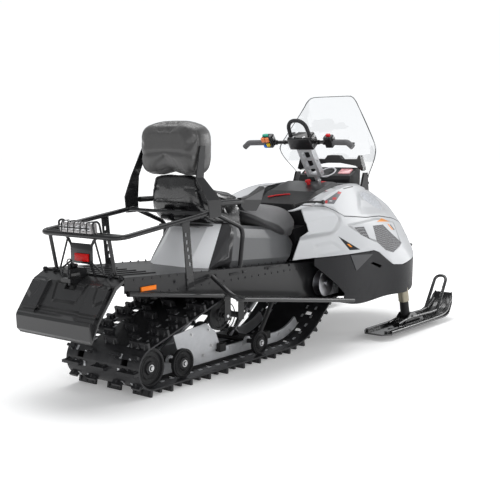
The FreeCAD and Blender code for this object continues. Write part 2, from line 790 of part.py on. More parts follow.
flap_trimmed = common("flap_trimmed", fuse("flap_set", flap, flap_lip, *flap_pods), flap_front)
sub_part("snow_flap", cut("flap_notched", flap_trimmed, flap_notch))

# Tow hitch
HITCH = f"({DECK_REAR} - 5)"
hitch_block = plate("hitch_block", "side", "0 - hitch_half", "2 * hitch_half", (
    ("deck_rear - seat_gap", f"{HITCH} - 44"), ("deck_rear - seat_gap", f"{HITCH} + 30"),
    ("deck_rear - 40", f"{HITCH} + 36"), ("deck_rear - 100", f"{HITCH} + 30"),
    ("deck_rear - 100", f"{HITCH} - 30"), ("deck_rear - 40", f"{HITCH} - 44"),
))
hitch_slot = box("hitch_slot", "deck_rear - 110", "0 - hitch_half - 8", f"{HITCH} - 12", "70", "2 * hitch_half + 16", "24")
hitch_hole = rod("hitch_hole", "hitch_bore", "120", "deck_rear - 76", "0", f"{HITCH} - 60", "z")
sub_part("tow_hitch", cut("hitch_drilled", cut("hitch_slotted", hitch_block, hitch_slot), hitch_hole))

# Luggage rack: one bent loop, two side posts, two rear posts and a cross tube
rack_side = (
    ("frame_foot", "rack_half", deck("frame_foot", "2")),
    ("frame_foot + 29", "rack_half", f"{RACK_FRONT_HIGH} - 96"),
    ("rack_front", "rack_half", RACK_FRONT_HIGH),
    ("rack_rear", "rack_half", RACK_REAR_HIGH),
)
rack_loop = tube("rack_loop", "tube", rack_side + tuple((x, f"0 - {y}", z) for x, y, z in reversed(rack_side)), 60)
rack_bars = [rod(f"rack_bar_{index}", "tube - 3", "2 * rack_half", x, "0 - rack_half", rack(x))
             for index, x in enumerate(("rack_front - 40", "rack_rear + 40"))]


def make_post():
    """A tall laser-cut plate from the tunnel's side up to the rack."""
    points = (("205", board("205", "20")), ("255", board("255", "20")), ("220", rack("220")), ("172", rack("172")))
    body = plate("post_plate", "side", "0 - tunnel_half - seat_gap - post_thick", "post_thick", points)
    slots = []
    for index in range(5):
        slots.append(box(f"post_slot_{index}", f"{219 - 7 * index}", "0 - tunnel_half - 2 * post_thick",
                         deck("205", f"{28 + 36 * index}"), "13", "4 * post_thick", "20"))
    return cut("post_slotted", body, fuse("post_slots", *slots))


post = make_post()
doc.recompute()
rear_posts = [tube(f"rear_post_{side + 1}", "tube - 3", (
    ("deck_rear + 18", f"{side} * lamp_half * 1.9", deck("deck_rear + 18", "3.5")),
    ("rack_rear + 3", f"{side} * lamp_half * 1.9", RACK_REAR_HIGH))) for side in (-1, 1)]
LAMP_LOW = f"({RACK_REAR_HIGH} + tube + seat_gap)"
lamp_cage = [tube(f"lamp_cage_{side + 1}", "5", (
    ("rack_rear", f"{side} * (lamp_half + 10)", RACK_REAR_HIGH),
    ("rack_rear - 16", f"{side} * (lamp_half + 10)", f"{LAMP_LOW} + lamp_high + 8"),
    ("rack_rear + 24", f"{side} * (lamp_half + 10)", f"{LAMP_LOW} + lamp_high + 8"),
    ("rack_rear + 40", f"{side} * (lamp_half + 10)", rack("rack_rear + 40")))) for side in (-1, 1)]
sub_part("luggage_rack", fuse("rack_set", rack_loop, post, mirror("post_left", post), *rack_bars, *rear_posts, *lamp_cage))

# Tail lamp, and the plate bracket that hangs below it
sub_part("tail_lamp", plate("lamp_body", "side", "0 - lamp_half", "2 * lamp_half", (
    ("rack_rear - 12", LAMP_LOW), ("rack_rear + 24", LAMP_LOW), ("rack_rear + 20", f"{LAMP_LOW} + lamp_high"),
    ("rack_rear - 4", f"{LAMP_LOW} + lamp_high"), ("rack_rear - 18", f"{LAMP_LOW} + lamp_high * 0.6"))))
BRACKET = ((52, -61), (80, -17), (96, -17), (60, -78), (60, -110), (98, -182), (80, -182), (50, -122))
bracket_points = [(str(y), f"{RACK_REAR_HIGH} + {z}") for y, z in BRACKET]
bracket_points += [(f"0 - {y}", f"{RACK_REAR_HIGH} + {z}") for y, z in reversed(BRACKET)]
sub_part("plate_bracket", plate("bracket_plate", "front", "deck_rear - seat_gap - sheet", "sheet", bracket_points))
sub_part("rear_reflector", box("reflector_block", "deck_rear - 2 * seat_gap - sheet - 6", "0 - 40",
                               f"{RACK_REAR_HIGH} - 116", "6", "62", "26"))

# Seat base: one smooth body on the deck, split into tail cowl, insert and side panels
BASE = ((85, 190, 58), (230, 205, 144), (391, 222, 221), (480, 228, 226), (655, 234, 219), (1104, 228, 195),
        (1197, 215, 124))


def base_section(x, half, rise):
    """A cross-section of the seat base, drawn in at its foot and at its top."""
    right = ((half - 16, "0"), (half, "34"), (half - 4, f"{0.7 * rise}"), (half - 14, f"{rise} - 16"), (half - 32, f"{rise}"))
    points = [(str(y), deck(str(x), z)) for y, z in right]
    points += [(f"0 - {y}", deck(str(x), z)) for y, z in reversed(right)]
    return str(x), points


base_body = loft("base_body", "front", [base_section(*section) for section in BASE])
SPLIT_REAR = (("insert_start", "0"), ("insert_start", f"{deck('insert_start')} + 20"), ("insert_start + 150", "820"))
SPLIT_FRONT = (("insert_end", "0"), ("insert_end", f"{deck('insert_end')} + 30"), ("insert_end + 42", "820"))


def shifted(line, by):
    """A line of outline corners moved forward."""
    return tuple((f"{x} + {by}", z) for x, z in line)


def behind(line):
    return (("0", "820"), ("0", "0")) + line


cowl_zone = plate("cowl_zone", "side", "0 - 400", "800", behind(SPLIT_REAR))
insert_zone = plate("insert_zone", "side", "0 - 400", "800",
                    shifted(SPLIT_REAR, "seat_gap") + tuple(reversed(SPLIT_FRONT)))
base_zone = plate("base_zone", "side", "0 - 400", "800", shifted(SPLIT_FRONT, "seat_gap") + (
    ("base_end - 94", "820"), ("base_end - 94", f"{deck('base_end - 94')} + 196"), ("base_end - 2", "644"),
    ("base_end - 100", "500"), ("base_end - 100", "0")))
sub_part("tail_cowl", common("cowl_part", base_body, cowl_zone))
sub_part("base_insert", common("insert_part", base_body, insert_zone))
sub_part("seat_base", common("base_part", base_body, base_zone))


# Seats, drawn smooth and cut flat where they lie on the base and the console
def seat_line(x):
    """Height of the base's top below the seats at a station."""
    return deck(x, f"219 - 24 * (({x}) - 655) / 449 + seat_gap")


SEAT_FLOOR = (("0 - 200", "0"), ("1400", "0"), ("1400", "714 + seat_gap"), ("1200", "700 + seat_gap"),
              ("1104", seat_line("1104")), ("655", seat_line("655")), ("480", deck("480", "226 + seat_gap")),
              ("391", deck("391", "221 + seat_gap")), ("0 - 200", deck("391", "221 + seat_gap")))
seat_floor = plate("seat_floor", "side", "0 - 400", "800", SEAT_FLOOR)


def seat_section(x, half, low, crease, high, top):
    """A cross-section of a seat: side walls below a crease, and a crowned top."""
    right = ((half - 6, low), (half, (low + crease) / 2), (half - 4, crease), (top + 22, high - 12),
             (top - 20, high - 1), (top * 0.45, high + 3))
    points = [(str(y), str(z)) for y, z in right] + [(f"0 - {y}", str(z)) for y, z in reversed(right)]
    return str(x), points


DRIVER = ((735, 198, 745, 830, 905, 150), (840, 200, 735, 815, 890, 150), (960, 192, 725, 806, 884, 142),
          (1104, 172, 705, 792, 877, 122), (1220, 146, 712, 785, 855, 102), (1300, 122, 735, 780, 824, 84),
          (1328, 96, 752, 775, 803, 66))
HUMP = ((402, 132, 905, 960, 1012, 92), (440, 172, 835, 960, 1030, 128), (500, 184, 790, 935, 1000, 140),
        (600, 186, 760, 880, 950, 142), (734.7, 194, 745, 850, 921, 150))
sub_part("driver_seat", cut("driver_seated", loft("driver_loft", "front", [seat_section(*s) for s in DRIVER], False),
                            seat_floor))
sub_part("passenger_seat", cut("hump_seated", loft("hump_loft", "front", [seat_section(*s) for s in HUMP], False),
                               seat_floor))


# Backrest: a rounded pad between two flat arms
def pad_section(depth, inset):
    """A rounded outline with an arched lower edge, drawn in by an inset."""
    points = []
    for index in range(24):
        angle = math.radians(15 * index)
        across = math.copysign(abs(math.cos(angle)) ** 0.45, math.cos(angle))
        upward = math.copysign(abs(math.sin(angle)) ** 0.55, math.sin(angle))
        arch = 26 * (1 - across ** 2) if upward < 0 else 0
        points.append((f"({across:.4f}) * (pad_half - {inset})",
                       f"{PAD_LOW} + pad_tall / 2 + ({upward:.4f}) * (pad_tall / 2 - {inset} * 0.8) + {arch:.2f}"))
    return f"pad_rear + {depth}", points


PAD = ((0, 34), (14, 10), (60, 0), (104, 2), (142, 16), (158, 46))
sub_part("backrest_pad", loft("pad_loft", "front", [pad_section(*section) for section in PAD], False))


def arm_section(z, rear, front, inner):
    outer = f"0 - ({inner}) - arm_thick"
    inside = f"0 - ({inner})"
    return z, ((rear, outer), (front, outer), (front, inside), (rear, inside))


ARM_FRONT = "rack_front + 48"
arm = loft("backrest_arm", "plan", (
    arm_section(f"{RACK_FRONT_HIGH} - 25", "rack_front - 40", ARM_FRONT, "rack_half + tube + seat_gap"),
    arm_section(f"{RACK_FRONT_HIGH} + 60", "rack_front - 50", ARM_FRONT, "rack_half + tube + seat_gap"),
    arm_section(f"{PAD_LOW} - 40", "pad_rear - 26", "pad_rear + 30", "pad_half + 28"),
    arm_section(f"{PAD_LOW} + 115", "pad_rear + 36", "pad_rear + 76", "pad_half + seat_gap"),
))
doc.recompute()
sub_part("backrest_frame", arm, mirror("backrest_arm_left", arm))

# Grab handles, each a bar with a hand guard at its front
GUARD = ((612, 20), (640, -5), (740, -12), (775, 25), (815, 105), (800, 115), (700, 72), (660, 62), (612, 62))
for side, title in ((-1, "right"), (1, "left")):
    middle = f"{side} * (rack_half + 2)"
    handle = tube(f"handle_{title}_tube", "handle_radius", (
        (f"{ARM_FRONT} + seat_gap", middle, f"{RACK_FRONT_HIGH} + 42"),
        ("630", middle, f"{RACK_FRONT_HIGH} + 42")))
    guard = plate(f"guard_{title}", "side", f"{middle} - guard_thick / 2", "guard_thick",
                  [(str(x), f"{RACK_FRONT_HIGH} + {z}") for x, z in GUARD])
    sub_part(f"grab_handle_{title}", fuse(f"handle_{title}", handle, guard))

# Console between the seat and the steering
console_half = "(cockpit_half - seat_gap)"
CONSOLE = ((1200, 225, 640, 190, 700), (1332, 228, 660, 190, 714), (1340, 234.7, 818, 165, 835),
           (1480, 234.7, 880, 165, 905), (1678, 234.7, 938, 165, 958))
console_sections = []
for x, edge, edge_high, top, top_high in CONSOLE:
    right = (("170", deck(str(x))), (str(edge), str(edge_high)), (str(top), str(top_high)))
    console_sections.append((str(x), right + tuple((f"0 - {y}", z) for y, z in reversed(right))))
sub_part("console", loft("console_loft", "front", console_sections))


# Nose shell
def nose_section(station, inside="0"):
    """One cross-section of the nose, drawn in by a wall and mirrored about the centre plane."""
    right = []
    for line in NOSE_LINES:
        lift = {"ridge": "0 - ", "shoulder": "0 - ", "keel": ""}.get(line)
        high = f"{station}_{line}_high" + (f" + ({lift}({inside}))" if lift is not None else "")
        right.append((f"{station}_{line}_half - ({inside})", high))
    return f"{station}_station", right + [(f"0 - ({half})", high) for half, high in reversed(right)]


def nose_loft(name, inside="0"):
    """The whole nose as a smooth body, drawn in by a wall or out by a negative one."""
    sections = [nose_section(station, inside) for station in NOSE]
    sections[0] = (f"tail_station - ({inside})", sections[0][1])
    sections[-1] = (f"tip_station - ({inside})", sections[-1][1])
    return loft(name, "front", sections, False)


nose_outer = nose_loft("nose_outer")
inner_sections = [nose_section(station, "hood_wall") for station in NOSE]
inner_sections[0] = ("tail_station - hood_wall", inner_sections[0][1])
inner_sections[-1] = ("tip_station - hood_wall", inner_sections[-1][1])
nose_inner = loft("nose_inner", "front", inner_sections, False)
nose_cover = nose_loft("nose_cover", "0 - seat_gap")
nose_proud = nose_loft("nose_proud", "0 - 3")
nose_hold = nose_loft("nose_hold", "hood_wall + seat_gap")
shell = cut("nose_shell", nose_outer, nose_inner)


def lifted(line, by):
    """A seam's corners moved up or down."""
    return tuple((str(x), f"{z} + {by}") for x, z in line)


def zone(name, points):
    """All that lies inside an outline seen from the side."""
    return plate(name, "side", "0 - 700", "1400", points)


upper_zone = zone("upper_zone", lifted(HOOD_SEAM, "gap / 2") + (("2700", "1300"), ("900", "1300")))
side_zone = zone("side_zone", lifted(HOOD_SEAM, "0 - gap / 2") + tuple(reversed(lifted(PAN_SEAM, "gap / 2"))))
lower_zone = zone("lower_zone", lifted(PAN_SEAM, "0 - gap / 2") + (("2700", "100"), ("900", "100")))
rear_zone = zone("rear_zone", from_points(PANEL_REAR) + (("900", "400"), ("900", "900")))
cockpit = box("cockpit", "1000", "0 - cockpit_half", "200", "cockpit_front - 1000", "2 * cockpit_half", "1000")
front_half = box("front_half", "fascia_station", "0 - 700", "100", "500", "1400", "1300")
rear_half = box("rear_half", "900", "0 - 700", "100", "fascia_station - 900 - gap", "1400", "1300")
lamp_form = zone("lamp_form", from_points(HEADLAMP))
opened = cut("shell_open", cut("shell_trimmed", shell, rear_zone), cockpit)
sub_part("hood", cut("hood_lamps", common("hood_skin", opened, upper_zone), lamp_form))
sub_part("headlamps", cut("lamp_lenses", common("lamp_skin", cut("lamp_band", nose_outer, nose_hold), lamp_form),
                          box("lamp_middle", "1600", "0 - 120", "700", "600", "240", "300")))

# Side panels with their grilles
right_half = box("right_half", "900", "0 - 700", "100", "1800", "500", "1200")
side_band = common("side_band", common("side_ring", opened, side_zone), rear_half)
grille_tools = [plate(f"grille_hole_{index}", "side", "0 - 600", "450", from_points(points))
                for index, points in enumerate(GRILLES)]
right_panel = cut("right_panel_open", common("right_panel_half", side_band, right_half),
                  fuse("grille_holes", *grille_tools))
nose_mid = nose_loft("nose_mid", "2")
mesh_band = cut("mesh_band", nose_mid, nose_loft("nose_deep", "hood_wall - 0.5"))
grille_right = common("grille_skin", mesh_band, fuse("grille_fill", *grille_tools))


def hinge_rod(name, radius, half_long, middle="0"):
    """A bar on the right panel's leaning hinge line, about a place along it."""
    item = doc.addObject("Part::Cylinder", name)
    item.setExpression("Radius", bound(radius))
    item.setExpression("Height", bound(f"2 * ({half_long})"))
    low = f"(({middle}) - ({half_long}))"
    return place(item, "hinge_station", f"0 - hinge_half + sin(hinge_lean) * {low}",
                 f"hinge_high + cos(hinge_lean) * {low}", "0 - hinge_lean", (1, 0, 0))


def hinge_box(name, ahead, outward, along, deep, thick, high):
    """A block square to the right panel's hinge line, by its low, outer and rear corner."""
    y = f"0 - hinge_half + sin(hinge_lean) * ({along}) - cos(hinge_lean) * ({outward})"
    z = f"hinge_high + cos(hinge_lean) * ({along}) + sin(hinge_lean) * ({outward})"
    item = box(name, "0", "0", "0", deep, thick, high)
    return place(item, f"hinge_station + {ahead}", y, z, "0 - hinge_lean", (1, 0, 0))


knuckle = common("knuckle", hinge_rod("knuckle_bar", "9", "18"), nose_mid)
lug_room = fuse("lug_room", hinge_box("lug_room_low", "0 - 14", "40", "0 - 31", "40", "60", "12.6"),
                hinge_box("lug_room_high", "0 - 14", "40", "18.4", "40", "60", "12.6"))
hinged_panel = cut("panel_bored", fuse("panel_knuckled", cut("panel_notched", right_panel, lug_room), knuckle),
                   hinge_rod("hinge_bore", "hinge_pin + run", "24"))
hinge_lugs = fuse("hinge_lugs", hinge_box("hinge_lug_low", "0 - 6", "1", "0 - 29", "44", "10", "10"),
                  hinge_box("hinge_lug_high", "0 - 6", "1", "19", "44", "10", "10"))
hinge_right = common("hinge_right", fuse("hinge_set", hinge_lugs, hinge_rod("hinge_pin_bar", "hinge_pin", "29")), nose_mid)
doc.recompute()
sub_part("side_panel_right", hinged_panel)
sub_part("side_panel_left", mirror("left_panel_hinged", hinged_panel))
sub_part("grille_right", grille_right)
sub_part("grille_left", mirror("grille_skin_left", grille_right))

# Belly pan with its vents, raised facets and strut bores, and the toe guards behind it
track_room = box("track_room", "900", "0 - tunnel_half - seat_gap", "100", "deck_front - 905",
                 "2 * (tunnel_half + seat_gap)", "1100")
rear_trim = box("rear_trim", "900", "0 - 700", "100", "board_end - 900 + seat_gap", "1400", "600")
lower_band = common("pan_band", shell, lower_zone)
facet_skin = common("facet_skin", cut("proud_shell", nose_proud, nose_inner), zone("facet_zone", from_points(PAN_FACET)))
pan = cut("pan_trimmed", cut("pan_open", fuse("pan_faceted", lower_band, facet_skin), track_room), rear_trim)
pan_cuts = [zone("pan_vents", from_points(PAN_VENT))]
for side in (-1, 1):
    bore = doc.addObject("Part::Cylinder", f"strut_bore_{side + 1}")
    bore.setExpression("Radius", bound("strut_radius + sleeve_wall + seat_gap"))
    bore.setExpression("Height", bound("3 * strut_long"))
    pan_cuts.append(place(bore, "strut_station + strut_long * tan(rake)", f"{side} * ski_out",
                          "strut_low - strut_long", "0 - rake"))
sub_part("belly_pan", cut("pan_bored", pan, fuse("pan_cuts", *pan_cuts)))
guard_form = zone("toe_guard_form", from_points(TOE_GUARD_LOW[:2], (
    ("board_end", str(TOE_GUARD_LOW[2][1])), ("board_end", "640"), ("1204", "640"))))
sub_part("toe_guards", cut("toe_guard_pair", common("toe_guard_skin", lower_band, guard_form), track_room))

# Front fascia, bumper, engine and driven pulley
fascia_zone = zone("fascia_zone", lifted(HOOD_SEAM, "0 - gap / 2") + tuple(reversed(lifted(PAN_SEAM, "gap / 2"))))
fascia_skin = common("fascia_part", common("fascia_band", shell, front_half), fascia_zone)
sub_part("front_fascia", fuse("fascia_hinged", fascia_skin, hinge_right, mirror("hinge_left", hinge_right)))
bumper_low = tube("bumper_low", "tube", ((2400, -285, 500), (2560, -255, 500), (2622, -120, 500),
                                         (2622, 120, 500), (2560, 255, 500), (2400, 285, 500)), 60)
bumper_high = tube("bumper_high", "tube - 3", ((2470, -225, 562), (2580, -200, 562), (2622, -100, 562),
                                               (2622, 100, 562), (2580, 200, 562), (2470, 225, 562)), 50)
bumper_ties = [tube(f"bumper_tie_{side + 1}", "8", ((2622, side * 90, 500), (2622, side * 90, 562))) for side in (-1, 1)]
sub_part("front_bumper", cut("bumper_trimmed", fuse("bumper_set", bumper_low, bumper_high, *bumper_ties), nose_cover))
engine = box("engine_mass", "1795", "0 - 190", "200", "300", "380", "530")
sub_part("engine_block", common("engine_seated", engine, nose_hold))
PULLEY = (("12", "0"), ("pulley_radius", "0"), ("pulley_radius", "4"), ("35", "16"), ("35", "30"),
          ("pulley_radius", "42"), ("pulley_radius", "46"), ("12", "46"))
pulley = turned("pulley_disc", PULLEY, "pulley_station", "0 - tunnel_half - seat_gap - 58", "pulley_height")
jackshaft = rod("jackshaft", "16", "72", "pulley_station", "0 - tunnel_half - seat_gap - 72", "pulley_height")
sub_part("driven_pulley", fuse("pulley_set", pulley, jackshaft))

# Windshield, the visor and the instrument pod inside it, and its side mounts
def screen_tube(name, radius):
    item = doc.addObject("Part::Cylinder", name)
    item.setExpression("Radius", bound(radius))
    item.setExpression("Height", bound("1000"))
    return place(item, "screen_front - screen_bend + 40", "0", "screen_low - 200", "0 - screen_lean")


SCREEN = (("screen_low_half", 0), ("screen_hip_half", 122), ("screen_mid_half - 34", 200), ("screen_mid_half - 8", 248),
          ("screen_mid_half", 280), ("screen_mid_half - 9", 312), ("screen_top_half + 15", 546),
          ("screen_top_half", 572), ("screen_top_half - 22", 596), ("screen_top_half - 48", 610))
screen_points = [(half, f"screen_low + {rise} * screen_tall / 610") for half, rise in SCREEN]
screen_points += [(f"0 - ({half})", high) for half, high in reversed(screen_points)]
screen_form = plate("screen_form", "front", "screen_front - 300", "600", screen_points)
screen_wall = cut("screen_wall_tube", screen_tube("screen_outer", "screen_bend"),
                  screen_tube("screen_inner", "screen_bend - screen_wall"))
sub_part("windshield", cut("screen_seated", common("screen_sheet", screen_wall, screen_form), nose_cover))
VISOR = (("52", 187), ("visor_half - 72", 170), ("visor_half - 18", 140), ("visor_half - 2", 150), ("visor_half - 28", 238),
         ("visor_half - 42", 236), ("visor_half - 58", 214), ("66", 212), ("44", 236), ("18", 238))
visor_points = [(half, f"screen_low + {rise}") for half, rise in VISOR]
visor_points += [(f"0 - ({half})", high) for half, high in reversed(visor_points)]
screen_hold = screen_tube("screen_hold", "screen_bend - screen_wall - seat_gap")
visor_band = cut("visor_band", screen_hold, screen_tube("visor_room", "screen_bend - screen_wall - visor_deep"))
visor_form = plate("visor_form", "front", "screen_front - 300", "600", visor_points)
sub_part("windshield_visor", common("visor_part", visor_band, visor_form))
pod = plate("pod_block", "side", "0 - 190", "380", (
    ("cockpit_front + 60", "860"), ("cockpit_front + 150", "860"), ("cockpit_front + 150", "1030"),
    ("cockpit_front + 118", "1040"), ("cockpit_front + 34", "990"), ("cockpit_front + 22", "968"),
    ("cockpit_front + 22", "935")))
sub_part("instrument_pod", cut("pod_seated", common("pod_held", pod, screen_hold), nose_cover))
mounts = []
for side in (-1, 1):
    mounts.append(plate(f"mount_{side + 1}", "side", f"{side} * 256 - 7", "14", (
        ("1830", "860"), ("1960", "860"), ("1960", "1010"), ("1886", "1010"))))
sub_part("windshield_mounts", cut("mounts_seated", common("mounts_held", fuse("mount_pair", *mounts), screen_hold),
                                  nose_cover))


# Steering: riser, bar, grips, loop and post, square to the raked steering axis
def steer(along, across="0"):
    """Station and height of a point by its distance along the steering axis and across it."""
    x = f"(riser_station - sin(steer_lean) * ({along}) + cos(steer_lean) * ({across}))"
    z = f"(riser_height + cos(steer_lean) * ({along}) + sin(steer_lean) * ({across}))"
    return x, z


def steer_point(along, across, y):
    x, z = steer(along, across)
    return x, y, z


def steer_box(name, along, across, y, high, deep, wide):
    """A block square to the steering axis, by its low corner."""
    x, z = steer(along, across)
    item = box(name, x, y, z, deep, wide, high)
    return place(item, x, y, z, "0 - steer_lean")


riser_block = steer_box("riser_block", "0", "0 - riser_deep / 2", "0 - riser_half", "riser_long", "riser_deep",
                        "2 * riser_half")
riser_cuts = [steer_box(f"riser_hole_{index}", f"{20 + 64 * index}", "0 - riser_deep", "22 - riser_half",
                        "riser_hole", "2 * riser_deep", "2 * (riser_half - 22)") for index in range(3)]
POST_LOW = "(0 - 165)"
post_rod = tube("post_rod", "post_radius", (steer_point(POST_LOW, "0", "0"), steer_point("5", "0", "0")))
sub_part("steering_riser", fuse("riser_and_post", cut("riser_cut", riser_block, fuse("riser_holes", *riser_cuts)), post_rod))
BAR = "(riser_long + 32)"
BAR_POINTS = (("34", "52", "0 - grip_out + 70"), ("0", "0", "0 - 95"), ("0", "0", "95"), ("34", "52", "grip_out - 70"))
bar = tube("bar_tube", "bar_radius", [steer_point(f"{BAR} + {up}", f"0 - {back}", y) for up, back, y in BAR_POINTS], 60)
clamp_pad = steer_box("clamp_pad", "riser_long + seat_gap", "0 - 34", "0 - 85", "clamp_high", "68", "170")
sub_part("handlebar", fuse("bar_set", bar, clamp_pad))
grips = []
blocks = []
levers = []
for side in (-1, 1):
    grips.append(tube(f"grip_{side + 1}", "grip_radius", (
        steer_point(f"{BAR} + 23", "0 - 35", f"{side} * (grip_out - 145)"),
        steer_point(f"{BAR} + 39", "0 - 60", f"{side} * (grip_out - 34)"),
        steer_point(f"{BAR} + 16", "0 - 74", f"{side} * (grip_out + 2)")), 30))
    blocks.append(steer_box(f"switch_block_{side + 1}", f"{BAR} - 4", "0 - 54", f"{side} * (grip_out - 175) - 23",
                            "44", "52", "46"))
    levers.append(tube(f"lever_{side + 1}", "5.5", (
        steer_point(f"{BAR} + 4", "0 - 10", f"{side} * (grip_out - 175)"),
        steer_point(f"{BAR} - 18", "20", f"{side} * (grip_out - 150)"),
        steer_point(f"{BAR} - 6", "0 - 6", f"{side} * (grip_out - 30)")), 24))
doc.recompute()
sub_part("hand_grips", *[cut(f"grip_bored_{i}", grip, bar) for i, grip in enumerate(grips)])
sub_part("switch_blocks", *[cut(f"switch_bored_{i}", block, bar) for i, block in enumerate(blocks)])
sub_part("control_levers", *[cut(f"lever_set_{i}", lever, block) for i, (lever, block) in enumerate(zip(levers, blocks))])
LOOP_FOOT = "riser_long + clamp_high + 2.1"
sub_part("grab_loop", tube("loop_tube", "12", (
    steer_point(LOOP_FOOT, "0 - 8", "0 - 72"),
    steer_point("riser_long + loop_rise", "8", "0 - 62"),
    steer_point("riser_long + loop_rise", "8", "62"),
    steer_point(LOOP_FOOT, "0 - 8", "72")), 66))


def make_steering_frame():
    """The bearing that carries the steering post, on two legs up from the tunnel."""
    lean = math.radians(size("steer_lean"))
    axis = Vector(-math.sin(lean), 0, math.cos(lean))
    top = Vector(size("riser_station"), 0, size("riser_height")) - axis * 95
    bearing = Part.makeCylinder(size("post_radius") + 12, 50, top - axis * 50, axis)
    legs = []
    for side in (-1, 1):
        foot = Vector(size("deck_front - 16"), side * 180, size(deck("deck_front - 16", "5")))
        knee = top - axis * 25 + Vector(0, side * 24, 0)
        legs.append(Part.makeCylinder(12, (knee - foot).Length, foot, knee - foot))
    bore = Part.makeCylinder(size("post_radius + run"), 90, top - axis * 70, axis)
    return shaped("steering_frame_set", bearing.fuse(legs).cut(bore))


sub_part("steering_frame", make_steering_frame())

# Struts, spindles and skis
for side, title in ((-1, "right"), (1, "left")):
    sleeve_low = Vector(size("strut_station"), side * size("ski_out"), size("strut_low"))
    rake = math.radians(size("rake"))
    heading = Vector(-math.sin(rake), 0, math.cos(rake))
    long = size("strut_long")
    outer = Part.makeCylinder(size("strut_radius + sleeve_wall"), long, sleeve_low, heading)
    inner = Part.makeCylinder(size("strut_radius + run"), long + 10, sleeve_low - heading * 5, heading)
    sub_part(f"strut_{title}", shaped(f"strut_sleeve_{title}", outer.cut(inner)))
    pin = Vector(size("ski_pin_station"), side * size("ski_out"), size("ski_pin_height"))
    low = sleeve_low - heading * ((sleeve_low.z - pin.z - 10) / heading.z)
    leg = Part.makeCylinder(size("strut_radius"), 200, low, heading)
    foot = Part.makeBox(60, 60, 40, Vector(pin.x - 34, pin.y - 30, pin.z - 20))
    hole = Part.makeCylinder(size("ski_pin + run"), 80, Vector(pin.x, pin.y - 40, pin.z), Vector(0, 1, 0))
    sub_part(f"spindle_{title}", shaped(f"spindle_leg_{title}", leg.fuse(foot).cut(hole)))

SKI_TURN = "(ski_tip_reach - ski_bend * sin(ski_bend_angle))"
SKI_BEND = "(ski_floor + ski_bend)"
SKI_TOP = "(ski_floor + ski_thick)"
ski_parts = [bent_strip("ski_sole", "ski_floor", "ski_thick", "2 * ski_half", "0 - ski_out", "ski_tail", SKI_TURN,
                        SKI_BEND, "ski_bend_angle")]
for side in (-1, 1):
    ski_parts.append(bent_strip(f"ski_rib_{side + 1}", f"{SKI_TOP} - 1", "ski_rib_high", "ski_rib_wide",
                                f"{side} * ski_rib_out - ski_out", "ski_tail + 40", SKI_TURN, SKI_BEND, "ski_bend_angle"))
ski_plan = plate("ski_plan", "plan", "0", "500", (
    ("ski_tail", "0 - ski_out - ski_half * 0.6"), ("ski_tail + 60", "0 - ski_out - ski_half"),
    (SKI_TURN + " + 80", "0 - ski_out - ski_half"), ("ski_tip_reach - 40", "0 - ski_out - ski_half * 0.78"),
    ("ski_tip_reach", "0 - ski_out - ski_half * 0.5"), ("ski_tip_reach", "ski_half * 0.5 - ski_out"),
    ("ski_tip_reach - 40", "ski_half * 0.78 - ski_out"), (SKI_TURN + " + 80", "ski_half - ski_out"),
    ("ski_tail + 60", "ski_half - ski_out"), ("ski_tail", "ski_half * 0.6 - ski_out")))
ski_keel = plate("ski_keel", "side", "0 - ski_out - 18", "36", (
    ("ski_tail + 150", "ski_floor + 2"),
    ("ski_tail + 200", "0"),
    (SKI_TURN + " - 60", "0"),
    (SKI_TURN + " + 30", "ski_floor + 4"),
))
cheeks = []
for side in (-1, 1):
    cheeks.append(plate(f"ski_cheek_{side + 1}", "side", f"{side} * 36 - ski_out - 5", "10", (
        ("ski_pin_station - 130", f"{SKI_TOP} - 2"),
        ("ski_pin_station + 130", f"{SKI_TOP} - 2"),
        ("ski_pin_station + 30", "ski_pin_height + 22"),
        ("ski_pin_station - 30", "ski_pin_height + 22"))))
ski_bolt = rod("ski_bolt", "ski_pin", "90", "ski_pin_station", "0 - ski_out - 45", "ski_pin_height")
ski_loop = tube("ski_loop", "11", (
    (SKI_TURN + " - 10", "0 - ski_out - 44", f"{SKI_TOP} + 4"),
    ("ski_tip_reach - 62", "0 - ski_out - 40", "ski_floor + 258"),
    ("ski_tip_reach - 62", "40 - ski_out", "ski_floor + 258"),
    (SKI_TURN + " - 10", "44 - ski_out", f"{SKI_TOP} + 4")), 40)
ski = fuse("ski_set", common("ski_blade", fuse("ski_strips", *ski_parts), ski_plan), ski_keel, ski_bolt, ski_loop, *cheeks)
doc.recompute()
sub_part("ski_right", ski)
sub_part("ski_left", mirror("ski_left_set", ski))


def check_and_write():
    """Stop on any failed object or bad solid, then write each sub-part's STEP file."""
    doc.recompute()
    for item in doc.Objects:
        if {"Invalid", "Error"} & set(item.State):
            raise RuntimeError(f"{item.Label} is {item.State}")
    for item in sub_parts:
        if item.Shape.isNull() or not item.Shape.isValid() or not item.Shape.Solids:
            raise RuntimeError(f"{item.Label} has no valid solid")
    os.makedirs("parts", exist_ok=True)
    for item in sub_parts:
        item.Shape.exportStep(f"parts/{item.Label}.step")


check_and_write()
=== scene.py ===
"""Looks of a two-seat utility snowmobile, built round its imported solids."""

